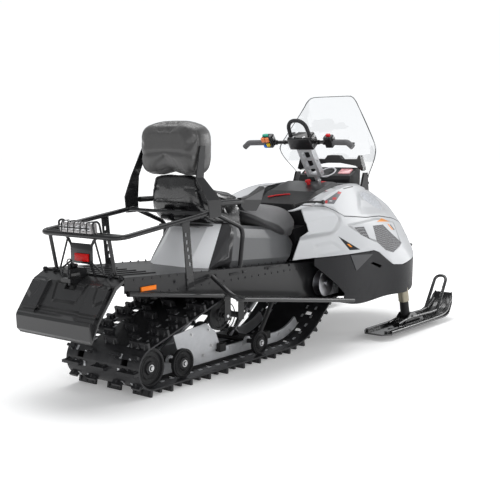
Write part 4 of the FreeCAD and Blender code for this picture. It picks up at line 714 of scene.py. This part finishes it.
def add_line(form, points, radius):
    """A round trim along the smooth line that a few points lead."""
    curve = bpy.data.curves.new("line", "CURVE")
    curve.dimensions = "3D"
    curve.bevel_depth = radius
    curve.bevel_resolution = 4
    curve.use_fill_caps = True
    curve.resolution_u = 8
    spline = curve.splines.new("NURBS")
    spline.points.add(len(points) - 1)
    for slot, point in zip(spline.points, points):
        slot.co = (*point, 1.0)
    spline.order_u = 3
    spline.use_endpoint_u = True
    holder = bpy.data.objects.new("line", curve)
    mesh = bpy.data.meshes.new_from_object(holder)
    form.from_mesh(mesh)
    bpy.data.objects.remove(holder)
    bpy.data.curves.remove(curve)
    bpy.data.meshes.remove(mesh)


def merged(node):
    """A bmesh of a CAD node with its loose triangles joined."""
    form = bmesh.new()
    form.from_mesh(frame["nodes"][node].data)
    bmesh.ops.remove_doubles(form, verts=form.verts, dist=1e-5)
    return form


def positions(mesh):
    found = np.empty(len(mesh.vertices) * 3, np.float32)
    mesh.vertices.foreach_get("co", found)
    return found.reshape(-1, 3)


def outward(mesh):
    found = np.empty(len(mesh.vertices) * 3, np.float32)
    mesh.vertex_normals.foreach_get("vector", found)
    return found.reshape(-1, 3)


def move_to(mesh, places):
    mesh.vertices.foreach_set("co", places.astype(np.float32).ravel())
    mesh.update()


# Upholstery

CLOTH_FRAMES = 20
STUFFING_PRESSURE = 4.0


def apply_modifiers(made):
    graph = bpy.context.evaluated_depsgraph_get()
    mesh = bpy.data.meshes.new_from_object(made.evaluated_get(graph))
    made.modifiers.clear()
    made.data = mesh


def blown_up(cover, held):
    """Where pressure pushes a cover's vertices as cloth, some of them held."""
    pins = cover.vertex_groups.new(name="pins")
    pins.add([int(i) for i in np.nonzero(held)[0]], 1.0, "REPLACE")
    cloth = cover.modifiers.new("stuffing", "CLOTH").settings
    cloth.use_pressure = True
    cloth.uniform_pressure_force = STUFFING_PRESSURE
    cloth.effector_weights.gravity = 0.0
    cloth.vertex_group_mass = "pins"
    cloth.quality = 5
    scene = bpy.context.scene
    for step in range(1, CLOTH_FRAMES + 1):
        scene.frame_set(step)
    blown = positions(cover.evaluated_get(bpy.context.evaluated_depsgraph_get()).data)
    scene.frame_set(1)
    cover.modifiers.clear()
    return blown


def stuffed(node, voxel, sink, cap, held_below):
    """The cover of a cushion: the node's form drawn in, then blown up by its stuffing as cloth."""
    cover = linked("cover", mesh_from("cover", merged(node)))
    voxels = cover.modifiers.new("voxels", "REMESH")
    voxels.mode = "VOXEL"
    voxels.voxel_size = voxel
    relax = cover.modifiers.new("relax", "SMOOTH")
    relax.factor = 0.6
    relax.iterations = 6
    apply_modifiers(cover)
    start = positions(cover.data)
    held = start[:, 2] < start[:, 2].min() + held_below
    drawn = np.where(held[:, None], start, start - outward(cover.data) * sink)
    move_to(cover.data, drawn)
    moved = blown_up(cover, held) - drawn
    reach = np.linalg.norm(moved, axis=1, keepdims=True)
    move_to(cover.data, drawn + moved * np.minimum(1.0, cap / np.maximum(reach, 1e-9)))
    return cover


def sewn(cover, seams):
    """Presses seams into a cover: each is a function that gives the distance, a width and a depth."""
    mesh = cover.data
    places = positions(mesh)
    normals = outward(mesh)
    for distance, width, depth in seams:
        pull = np.exp(-(distance(places) / width) ** 2) * depth
        places = places - normals * pull[:, None]
    move_to(mesh, places)


def upholstered(cover, node, finish):
    """Gives a cover its vinyl, and lets it stand for its node."""
    cover.name = cover.data.name = f"{node}_cover"
    cover.data.materials.clear()
    cover.data.materials.append(MATERIALS[finish])
    cover.data.shade_smooth()
    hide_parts(node)
    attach(cover, "chassis")


def level_seam(x, z, slope, half):
    """Distance from a seam along a seat's side, at a height that falls forward."""
    def distance(places):
        line = z / 1000 + slope * (places[:, 0] - SHIFT - x / 1000)
        away = places[:, 2] - line
        away[np.abs(places[:, 1]) < half / 1000] = 1.0
        return away
    return distance


def cross_seam(x, low, lean=0.0):
    """Distance from a seam across a seat, leaning forward with height."""
    def distance(places):
        away = places[:, 0] - SHIFT - x / 1000 - lean * places[:, 2]
        away[places[:, 2] < low / 1000] = 1.0
        return away
    return distance


def long_seam(half, start, end, low):
    """Distance from the pair of seams along a seat's top."""
    def distance(places):
        along = places[:, 0] - SHIFT
        away = np.abs(places[:, 1]) - half / 1000
        away[(along < start / 1000) | (along > end / 1000) | (places[:, 2] < low / 1000)] = 1.0
        return away
    return distance


# Driver's seat: station, half width, and heights of underside, shoulder and top, in mm
SEAT_RIBS = (
    (735, 200, 806, 838, 902), (860, 232, 758, 788, 884), (980, 241, 704, 752, 864),
    (1070, 239, 668, 702, 850), (1190, 206, 655, 712, 838), (1285, 156, 664, 742, 818),
    (1326, 112, 690, 748, 796),
)


def seat_form():
    """The driver's seat: a crown between shoulders that fall towards the front, and steep sides."""
    form = bmesh.new()
    for x, half, low, shoulder, top in SEAT_RIBS:
        rise = top - shoulder
        half_ring = ((0, top), (0.30 * half, top - 1), (0.58 * half, top - 0.10 * rise),
                     (0.80 * half, top - 0.42 * rise), (0.95 * half, shoulder + 0.12 * rise),
                     (half, shoulder), (half - 3, (shoulder + low) / 2), (half - 14, low), (0.4 * half, low - 4))
        ring = [(y, z) for y, z in half_ring] + [(-y, z) for y, z in reversed(half_ring[1:])]
        circle = bmesh.ops.create_circle(form, segments=len(ring))["verts"]
        for vert, (y, z) in zip(circle, ring):
            vert.co = at(x, y, z)
    bmesh.ops.bridge_loops(form, edges=form.edges)
    bmesh.ops.holes_fill(form, edges=form.edges)
    bmesh.ops.recalc_face_normals(form, faces=form.faces)
    return form


def subdivided(form, levels):
    """A smooth mesh from a coarse cage."""
    cage = linked("cage", mesh_from("cage", form))
    smooth = cage.modifiers.new("smooth", "SUBSURF")
    smooth.levels = smooth.render_levels = levels
    apply_modifiers(cage)
    return cage


class SNOWMOBILE_OT_seats(bpy.types.Operator):
    """Driver's seat, passenger's hump and backrest pad in sewn vinyl"""
    bl_idname = "snowmobile.seats"
    bl_label = "Seats"

    def execute(self, context):
        seat = subdivided(seat_form(), 4)
        sewn(seat, ((long_seam(120, 720, 1240, 700), 0.0035, 0.003),
                    (cross_seam(1085, 690, 0.25), 0.0035, 0.003)))
        upholstered(seat, "driver_seat", "seat_grey")
        hump = stuffed("passenger_seat", 0.007, 0.003, 0.005, 0.02)
        sewn(hump, ((level_seam(402, 962, -0.32, 90), 0.004, 0.004), (cross_seam(560, 850), 0.004, 0.003)))
        upholstered(hump, "passenger_seat", "seat_black")
        pad = stuffed("backrest_pad", 0.006, -0.004, 0.008, -1.0)
        low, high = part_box("backrest_pad")
        middle = (low + high) / 2

        def rim(places):
            return places[:, 0] - (low.x + 0.034)

        def waist(places):
            away = places[:, 2] - (low.z + 0.075 - 0.25 * (places[:, 1] - middle.y) ** 2)
            away[places[:, 0] > middle.x] = 1.0
            return away

        sewn(pad, ((rim, 0.0035, 0.004), (waist, 0.005, 0.003)))
        places = positions(pad.data)
        below = np.clip(middle.z - places[:, 2], 0.0, None)
        across = np.clip(np.abs(places[:, 1] - middle.y) / 0.19, 0.0, 1.0)
        places[:, 2] -= below * (0.25 + 0.25 * across)
        move_to(pad.data, places)
        upholstered(pad, "backrest_pad", "pad_grey")
        return {"FINISHED"}


# Track

LUG_ROWS = 54
BELT = ((0.0, 0.135, 0.097), (1.120, 0.468, 0.430), (1.545, 0.360, 0.080), (0.517, 0.312, 0.080))


def loop_places(rows, grow):
    """Evenly spaced places round the track: middle of the place, and its outward angle."""
    circles = [(x, z, r + grow) for x, z, r in BELT]
    normals = []
    for (xa, za, ra), (xb, zb, rb) in zip(circles, circles[1:] + circles[:1]):
        slope = math.atan2(zb - za, xb - xa)
        normals.append(slope - math.pi / 2 + math.asin((ra - rb) / math.hypot(xb - xa, zb - za)))
    runs = []
    for index, (x, z, r) in enumerate(circles):
        arrive, leave = normals[index - 1], normals[index]
        while leave < arrive:
            leave += math.tau
        nx, nz, nr = circles[(index + 1) % len(circles)]
        first = Vector((x + r * math.cos(leave), z + r * math.sin(leave)))
        last = Vector((nx + nr * math.cos(leave), nz + nr * math.sin(leave)))
        runs.append((r * (leave - arrive), "arc", (x, z, r, arrive)))
        runs.append(((last - first).length, "line", (first, last, leave)))
    pitch = sum(run[0] for run in runs) / rows
    places, travelled, target = [], 0.0, 0.0
    for length, kind, data in runs:
        while target < travelled + length - 1e-9 and len(places) < rows:
            along = target - travelled
            if kind == "arc":
                x, z, r, arrive = data
                angle = arrive + along / r
                spot = (x + r * math.cos(angle), z + r * math.sin(angle))
            else:
                first, last, angle = data
                spot = first.lerp(last, along / length)
            places.append((Vector((spot[0] + SHIFT, 0, spot[1])), angle))
            target += pitch
        travelled += length
    return places


def add_lug(form, here, across, wide, high, thick):
    """A tapered lug with a ribbed face, standing out from the belt."""
    lug = bmesh.ops.create_cube(form, size=1.0)["verts"]
    for vert in lug:
        top = vert.co.x > 0
        vert.co = Vector(((vert.co.x + 0.5) * high, across + vert.co.y * (wide - (0.010 if top else 0.0)),
                          vert.co.z * (thick * (0.62 if top else 1.35))))
    bmesh.ops.transform(form, matrix=here, verts=lug)


WIDE_LUGS = ((-0.190, 0.118), (0.190, 0.118), (0.0, 0.088))
WIDE_LUG_RIBS = (-0.232, -0.19, -0.148, 0.148, 0.19, 0.232, -0.028, 0.028)
SHORT_LUGS = ((-0.216, 0.050), (0.216, 0.050), (-0.087, 0.060), (0.087, 0.060))


class SNOWMOBILE_OT_track(bpy.types.Operator):
    """Rubber lugs and steel guide clips on the track"""
    bl_idname = "snowmobile.track"
    bl_label = "Track"

    def execute(self, context):
        rubber, clips = bmesh.new(), bmesh.new()
        for row, (spot, angle) in enumerate(loop_places(LUG_ROWS, 0.008)):
            here = Matrix.Translation(spot) @ Matrix.Rotation(-angle, 4, "Y")
            if row % 2 == 0:
                lugs, ribs, high, rib_high = WIDE_LUGS, WIDE_LUG_RIBS, 0.0295, 0.024
            else:
                lugs, ribs, high, rib_high = SHORT_LUGS, [across for across, _ in SHORT_LUGS], 0.0212, 0.018
            for across, wide in lugs:
                add_lug(rubber, here, across, wide, high, 0.013)
            for across in ribs:
                add_lug(rubber, here, across, 0.012, rib_high, 0.026)
            for across in (-0.118, -0.182, 0.118, 0.182):
                turn = here @ Matrix.Translation((-0.0045, across, 0))
                bmesh.ops.create_cube(clips, size=1.0, matrix=turn @ Matrix.Diagonal((0.0125, 0.013, 0.024, 1)))
        built("track_lugs", rubber, "track_rubber", smooth=0)
        built("track_clips", clips, "rail_metal", smooth=0)
        return {"FINISHED"}


# Windshield and cockpit

def screen_point(across, high):
    """A point on the windshield's outer face, by its mm across and above the ground."""
    lean, bend = math.radians(8.0), 600.0
    foot_x, foot_z = 1993 - bend + 40, 680.0
    turn = math.asin(across / bend)
    along = (high - foot_z - bend * math.cos(turn) * math.sin(lean)) / math.cos(lean)
    return at(foot_x - along * math.sin(lean) + bend * math.cos(turn) * math.cos(lean), across, high)


STEER_LEAN = math.radians(36.0)
STEER_TURN = Matrix.Rotation(-STEER_LEAN, 4, "Y")
SWITCH_PLACE = 219


def steer_at(along, ahead, across):
    """A point in mm along the steering axis from the riser's foot, ahead of it and to the left."""
    back, up = math.sin(STEER_LEAN), math.cos(STEER_LEAN)
    return at(1737 - back * along + up * ahead, across, 994 + up * along + back * ahead)
SCREEN_EDGE = ((232, 945), (271, 1004), (329, 1082), (354, 1130), (360, 1160), (351, 1194), (202, 1424),
               (186, 1452), (164, 1476), (140, 1488))


class SNOWMOBILE_OT_windshield(bpy.types.Operator):
    """Rubber edge trim and screws of the windshield"""
    bl_idname = "snowmobile.windshield"
    bl_label = "Windshield trim"

    def execute(self, context):
        edge = [screen_point(half, high - 2) for half, high in SCREEN_EDGE]
        edge += [screen_point(half, high - 2) for half, high in ((70, 1489), (0, 1489), (-70, 1489))]
        edge += [screen_point(-half, high - 2) for half, high in reversed(SCREEN_EDGE)]
        trim = bmesh.new()
        add_line(trim, edge, 0.0022)
        built("windshield_trim", trim, "screen_black", smooth=60)
        screws = bmesh.new()
        for side in (-1, 1):
            for across, high in ((256, 985), (256, 945), (110, 1066)):
                place = screen_point(side * across, high)
                out = (place - at(1433, 0, high)).normalized()
                add_rod(screws, place, place + out * 0.003, 0.008, 20)
                add_rod(screws, place + out * 0.003, place + out * 0.0055, 0.0045, 6)
        built("windshield_screws", screws, "bolt_black", smooth=30)
        return {"FINISHED"}


class SNOWMOBILE_OT_controls(bpy.types.Operator):
    """Buttons and clamps on the handlebar"""
    bl_idname = "snowmobile.controls"
    bl_label = "Controls"

    def execute(self, context):
        buttons = (("orange", 1, 312, -58, 22, 26, 30), ("orange", 1, 312, -58, -8, 26, 30),
                   ("green", 1, 334, -40, 8, 40, 12), ("yellow", 1, 278, -62, -6, 22, 20),
                   ("blue", 1, 268, -60, 20, 22, 22), ("red", -1, 324, -30, -4, 28, 14))
        for index, (colour, side, along, ahead, across, wide, high) in enumerate(buttons):
            form = bmesh.new()
            place = steer_at(along, ahead, side * SWITCH_PLACE + across)
            add_block(form, place, (0.016, wide / 1000, high / 1000), STEER_TURN, 0.003)
            built(f"button_{colour}_{index}", form, f"button_{colour}", "handlebar_body", smooth=40)
        clamps, bolts = bmesh.new(), bmesh.new()
        add_rod(clamps, steer_at(40, 0, 0), steer_at(225, 0, 0), 0.017, 20)
        add_block(clamps, steer_at(262, 0, 0), (0.078, 0.168, 0.088), STEER_TURN, 0.012, 3)
        add_block(clamps, steer_at(294, -34, SWITCH_PLACE), (0.050, 0.074, 0.070), STEER_TURN, 0.010, 3)
        add_block(clamps, steer_at(292, -30, -SWITCH_PLACE), (0.044, 0.060, 0.052), STEER_TURN, 0.010, 3)
        for side in (-1, 1):
            add_rod(clamps, steer_at(271, -28, side * 186), steer_at(269, -25, side * 172), 0.016, 20)
            add_rod(clamps, steer_at(262, -14, side * 128), steer_at(260, -12, side * 118), 0.014, 20)
            for ahead in (-24, 24):
                add_bolt(bolts, steer_at(305, ahead, side * 40), STEER_TURN @ Vector((0, 0, 1)), 0.005)
            for along in (30, 115, 200):
                add_bolt(bolts, steer_at(along, 0, side * 52), (0, side, 0), 0.0055)
        built("bar_clamps", clamps, "frame_black", "handlebar_body")
        built("riser_bolts", bolts, "bolt_zinc", "handlebar_body", smooth=30)
        return {"FINISHED"}


class SNOWMOBILE_OT_dash(bpy.types.Operator):
    """Gauge, lenses, key, stop switch and trim bead on the console"""
    bl_idname = "snowmobile.dash"
    bl_label = "Dash"

    def execute(self, context):
        slope = Vector((-0.51, 0, 0.86))
        rim, lens = bmesh.new(), bmesh.new()
        add_ring(rim, at(1874, 0, 1009), slope, 0.052, 0.006)
        add_rod(lens, at(1877, 0, 1003), at(1873.5, 0, 1011), 0.050, 40)
        built("gauge_rim", rim, "gauge_rim")
        built("gauge_glass", lens, "screen_black")
        side_lens = bmesh.new()
        for side in (-1, 1):
            turn = Matrix.Rotation(math.radians(-30.6), 4, "Y")
            add_block(side_lens, at(1880, side * 128, 1015), (0.056, 0.085, 0.012), turn, 0.005, 3)
        built("dash_lenses", side_lens, "gauge_lens", smooth=40)
        switch, bead = bmesh.new(), bmesh.new()
        add_rod(switch, at(1617, -26, 936), at(1611, -24, 962), 0.012, 24)
        add_rod(switch, at(1612, -24, 957), at(1609, -23, 969), 0.019, 24, 0.016)
        add_rod(switch, at(1660, -80, 953), at(1686, -110, 951), 0.0085, 20, 0.0075)
        add_line(bead, [at(1392, 120, 868), at(1430, 60, 884), at(1440, -10, 887)], 0.004)
        built("stop_switch", switch, "button_red", smooth=40)
        built("console_bead", bead, "button_red", smooth=60)
        key = bmesh.new()
        add_rod(key, at(1634, -96, 946), at(1630, -97, 962), 0.009, 20)
        add_block(key, at(1628, -97, 968), (0.006, 0.022, 0.016), round_by=0.002)
        built("ignition_key", key, "bolt_zinc", smooth=40)
        return {"FINISHED"}


# Bodywork

def cut_off(form, place, out):
    """Cuts away what lies beyond a plane and closes the cut."""
    geometry = form.verts[:] + form.edges[:] + form.faces[:]
    cut = bmesh.ops.bisect_plane(form, geom=geometry, plane_co=place, plane_no=out, clear_outer=True)
    rim = [item for item in cut["geom_cut"] if isinstance(item, bmesh.types.BMEdge)]
    bmesh.ops.edgeloop_fill(form, edges=rim)
    bmesh.ops.recalc_face_normals(form, faces=form.faces)


class SNOWMOBILE_OT_bodywork(bpy.types.Operator):
    """Latch straps, tail cowl, plate and latches of the hump, and the cooler behind the pan"""
    bl_idname = "snowmobile.bodywork"
    bl_label = "Bodywork"

    def execute(self, context):
        strap = bmesh.new()
        for side in (-1, 1):
            add_line(strap, [at(1110, side * 268, 846), at(1150, side * 292, 862), at(1215, side * 322, 864),
                             at(1290, side * 341, 858)], 0.0065)
            add_rod(strap, at(1292, side * 338, 857), at(1292, side * 349, 861), 0.012, 20)
            add_rod(strap, at(1108, side * 262, 844), at(1108, side * 274, 850), 0.012, 20)
        built("latch_straps", strap, "slider_plastic", smooth=60)

        insert = merged("base_insert")
        cut_off(insert, at(360, 0, 530), (-0.78, 0.0, 0.625))
        for side in (-1, 1):
            cut_off(insert, at(360, side * 120, 530), (-0.66, side * 0.52, 0.53))
        cowl = insert.copy()
        seam = Vector((0.827, 0.0, -0.562))
        cut_off(cowl, at(430, 0, 530), seam)
        cut_off(insert, at(432, 0, 530), -seam)
        # The cowl's lighter white is a painted light.
        built("tail_cowl_cover", cowl, "cowl_white_painted_light", stands_for=("tail_cowl",), smooth=25)
        built("base_insert_cover", insert, "insert_black", stands_for=("base_insert",),
              smooth=25)

        plate, latches, handles = bmesh.new(), bmesh.new(), bmesh.new()
        add_block(plate, at(585, 0, 765), (0.27, 0.28, 0.008), round_by=0.003)
        for side in (-1, 1):
            add_block(latches, at(412, side * 48, 838), (0.030, 0.062, 0.034), round_by=0.006)
            add_block(latches, at(404, side * 48, 812), (0.022, 0.050, 0.020), round_by=0.005)
            add_block(handles, at(396, side * 48, 846), (0.012, 0.044, 0.012), round_by=0.004)
        built("hump_plate", plate, "grip_grey", smooth=30)
        built("hump_latches", latches, "screen_black", smooth=30)
        built("latch_levers", handles, "bolt_zinc", smooth=30)

        cooler = bmesh.new()
        add_block(cooler, at(1480, -256, 345), (0.130, 0.080, 0.090), round_by=0.006)
        for index in range(5):
            add_block(cooler, at(1430 + 25 * index, -298, 345), (0.010, 0.012, 0.084), round_by=0.003)
        built("cooler", cooler, "rail_metal", smooth=30)
        return {"FINISHED"}


# Skis: side rails and the runs of the loop

SKI_PLACE = 450
SKI_EDGE = ((1775, 86, 50), (2000, 88, 50), (2250, 88, 50), (2470, 88, 52), (2550, 86, 68), (2605, 76, 100),
            (2650, 62, 150))
SKI_RUN = ((1960, 34, 66), (2060, 34, 84), (2250, 36, 82), (2460, 40, 76), (2555, 40, 96), (2610, 38, 135))


class SNOWMOBILE_OT_skis(bpy.types.Operator):
    """Beads along the edges of each ski, and the runs that carry its loop back to the spindle"""
    bl_idname = "snowmobile.skis"
    bl_label = "Skis"

    def execute(self, context):
        for side, name in ((-1, "ski_right"), (1, "ski_left")):
            rails = bmesh.new()
            for across in (-1, 1):
                for line, radius in ((SKI_EDGE, 0.007), (SKI_RUN, 0.0085)):
                    add_line(rails, [at(x, side * SKI_PLACE + across * y, z) for x, y, z in line], radius)
            built(f"{name}_rails", rails, "ski_black", f"{name}_body", smooth=60)
        return {"FINISHED"}


# Tail: lamp, bracket, flap and hitch

class SNOWMOBILE_OT_tail(bpy.types.Operator):
    """Lamp reflectors and guard bars, plate holder, flap bolts and hitch pin"""
    bl_idname = "snowmobile.tail"
    bl_label = "Tail"

    def execute(self, context):
        low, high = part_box("tail_lamp")
        middle = (low + high) / 2
        bowls, bars = bmesh.new(), bmesh.new()
        for index in range(6):
            across = low.y + (index + 0.5) * (high.y - low.y) / 6
            for x, z, out in ((low.x, middle.z, Vector((-1, 0, 0))), (middle.x, high.z, Vector((0, 0, 1)))):
                face = Vector((x, across, z))
                add_rod(bowls, face - 0.002 * out, face + 0.0035 * out, 0.015, 24, 0.010)
        built("lamp_bowls", bowls, "bolt_zinc", smooth=30)
        behind, over = low.x - 0.006, high.z + 0.006
        for index in range(5):
            across = low.y + (index + 0.5) * (high.y - low.y) / 5
            bent = ((behind, low.z - 0.004), (behind, high.z), (low.x + 0.006, over), (high.x, over))
            add_line(bars, [Vector((x, across, z)) for x, z in bent], 0.0028)
        add_rod(bars, Vector((behind, low.y, middle.z)), Vector((behind, high.y, middle.z)), 0.003)
        built("lamp_guard", bars, "frame_black", smooth=60)
        holder, bolts = bmesh.new(), bmesh.new()
        add_block(holder, at(-214, -4, 684), (0.004, 0.150, 0.094), round_by=0.0015)
        for side in (-1, 1):
            for start, end in (((side * 68, 646), (side * 150, 598)), ((side * 68, 724), (side * 112, 768)),
                               ((side * 150, 598), (side * 84, 770))):
                add_rod(holder, at(-214, start[0], start[1]), at(-212, end[0], end[1]), 0.0048, 12)
        lean = Matrix.Rotation(math.radians(35.0), 4, "Y")
        add_block(holder, at(-262, 0, 540), (0.003, 0.120, 0.085), lean, 0.001)
        built("plate_holder", holder, "frame_black")
        for across in (-258, -190, 190, 258):
            add_rod(bolts, at(-210, across, 590), at(-219, across, 594), 0.0125, 24, 0.010)
            add_rod(bolts, at(-218, across, 593.5), at(-223, across, 596), 0.006, 6)
        for across in (-20, 20):
            for high_at in (598, 612):
                add_bolt(bolts, at(-309, across, high_at), (-1, 0, 0), 0.005)
        built("flap_bolts", bolts, "bolt_black", smooth=30)
        lens = bmesh.new()
        add_block(lens, at(-221, -12, 667), (0.009, 0.092, 0.036), round_by=0.002)
        built("rear_reflector_lens", lens, "reflector_red",
              stands_for=("rear_reflector",))
        pin = bmesh.new()
        add_rod(pin, at(-286, 0, 545), at(-286, 0, 640), 0.0075, 20)
        add_ring(pin, at(-286, 0, 652), (0, 1, 0), 0.013, 0.003)
        add_block(pin, at(-262, 0, 634), (0.030, 0.034, 0.016), round_by=0.004)
        built("hitch_pin", pin, "bolt_black")
        return {"FINISHED"}


# Tunnel and boards

class SNOWMOBILE_OT_tunnel(bpy.types.Operator):
    """Rivets along the tunnel and bolts of the boards and rack"""
    bl_idname = "snowmobile.tunnel"
    bl_label = "Tunnel"

    def execute(self, context):
        rivets, bolts, plates = bmesh.new(), bmesh.new(), bmesh.new()
        for side in (-1, 1):
            wall = side * 275
            for index in range(24):
                x = -150 + index * 58
                for z in (578 - 0.028 * (x + 150), 505 - 0.012 * (x + 150)):
                    add_rod(rivets, at(x, wall, z), at(x, wall + side * 2.6, z), 0.0062, 12, 0.003)
            for x in (120, 205, 420, 640, 860, 1060):
                add_bolt(bolts, at(x, wall, 540 - 0.02 * x), (0, side, 0), 0.0062)
            for x in (300, 600, 900):
                add_block(plates, at(x, wall + side * 1.5, 526), (0.14, 0.003, 0.012), round_by=0.001)
        built("tunnel_rivets", rivets, "bolt_black", smooth=40)
        built("tunnel_bolts", bolts, "bolt_black", smooth=30)
        built("tunnel_ribs", plates, "deck_black")
        return {"FINISHED"}


# Skid: hubs, bolts, plates and stops

class SNOWMOBILE_OT_skid(bpy.types.Operator):
    """Wheel hubs, rail bolts, plates and stops of the skid"""
    bl_idname = "snowmobile.skid"
    bl_label = "Skid"

    def execute(self, context):
        hubs, rims, bolts, stops, plates = (bmesh.new() for _ in range(5))
        wheels = ((0, 135, 97, 233), (236, 112, 74, 233), (866, 104, 66, 233), (517, 312, 80, 272))
        for side in (-1, 1):
            for x, z, radius, out in wheels:
                face = side * (out - 6)
                add_rod(hubs, at(x, face - side * 2, z), at(x, face + side * 5, z), 0.019, 32, 0.017)
                add_rod(hubs, at(x, face + side * 5, z), at(x, face + side * 11, z), 0.0095, 6)
                add_ring(rims, at(x, face - side * 1.0, z), (0, 1, 0), radius * 0.00056, 0.0022, 40)
                add_ring(rims, at(x, face - side * 1.0, z), (0, 1, 0), radius * 0.00085, 0.0026, 48)
            for index in range(10):
                x = 260 + index * 112
                add_bolt(bolts, at(x, side * 134, 92), (0, side, 0), 0.0062)
            for x in (610, 1010):
                add_block(stops, at(x, side * 150, 116), (0.052, 0.036, 0.046), round_by=0.006)
            corners = ((300, 100), (618, 110), (580, 200), (500, 262), (250, 238))
            face = plates.faces.new([plates.verts.new(at(x, side * 138, z)) for x, z in corners])
            made = bmesh.ops.extrude_face_region(plates, geom=[face])
            moved = [item for item in made["geom"] if isinstance(item, bmesh.types.BMVert)]
            bmesh.ops.translate(plates, verts=moved, vec=(0, side * 0.004, 0))
            for x, z in ((360, 138), (540, 134), (385, 218), (520, 222)):
                add_bolt(bolts, at(x, side * 142, z), (0, side, 0), 0.007)
        bmesh.ops.recalc_face_normals(plates, faces=plates.faces)
        built("wheel_hubs", hubs, "bolt_zinc", smooth=30)
        built("wheel_rims", rims, "wheel_black")
        built("rail_bolts", bolts, "bolt_zinc", smooth=30)
        built("rail_stops", stops, "slider_plastic")
        built("rail_plates", plates, "rail_metal", smooth=0)
        return {"FINISHED"}


class SNOWMOBILE_PT_panel(bpy.types.Panel):
    """Colours, studio and the steps that dress the machine"""
    bl_idname = "SNOWMOBILE_PT_panel"
    bl_label = "Snowmobile"
    bl_space_type = "VIEW_3D"
    bl_region_type = "UI"
    bl_category = "Snowmobile"

    def draw(self, context):
        for group in settings():
            box = self.layout.box()
            for key in group.bl_rna.properties.keys():
                if key not in ("rna_type", "name"):
                    box.prop(group, key)
        for step in STEPS:
            self.layout.operator(step.bl_idname)


STEPS = (SNOWMOBILE_OT_studio, SNOWMOBILE_OT_finishes, SNOWMOBILE_OT_seats, SNOWMOBILE_OT_track,
         SNOWMOBILE_OT_windshield, SNOWMOBILE_OT_controls, SNOWMOBILE_OT_dash, SNOWMOBILE_OT_bodywork,
         SNOWMOBILE_OT_tail, SNOWMOBILE_OT_tunnel, SNOWMOBILE_OT_skid, SNOWMOBILE_OT_skis)
CLASSES = (SnowmobileColours, SnowmobileStudio, *STEPS, SNOWMOBILE_PT_panel)


def register():
    for item in CLASSES:
        bpy.utils.register_class(item)
    bpy.types.Scene.snowmobile_colours = PointerProperty(type=SnowmobileColours)
    bpy.types.Scene.snowmobile_studio = PointerProperty(type=SnowmobileStudio)


def unregister():
    del bpy.types.Scene.snowmobile_studio
    del bpy.types.Scene.snowmobile_colours
    for item in reversed(CLASSES):
        bpy.utils.unregister_class(item)


def main():
    register()
    for step in STEPS:
        family, action = step.bl_idname.split(".")
        getattr(getattr(bpy.ops, family), action)()


if __name__ == "__main__":
    main()
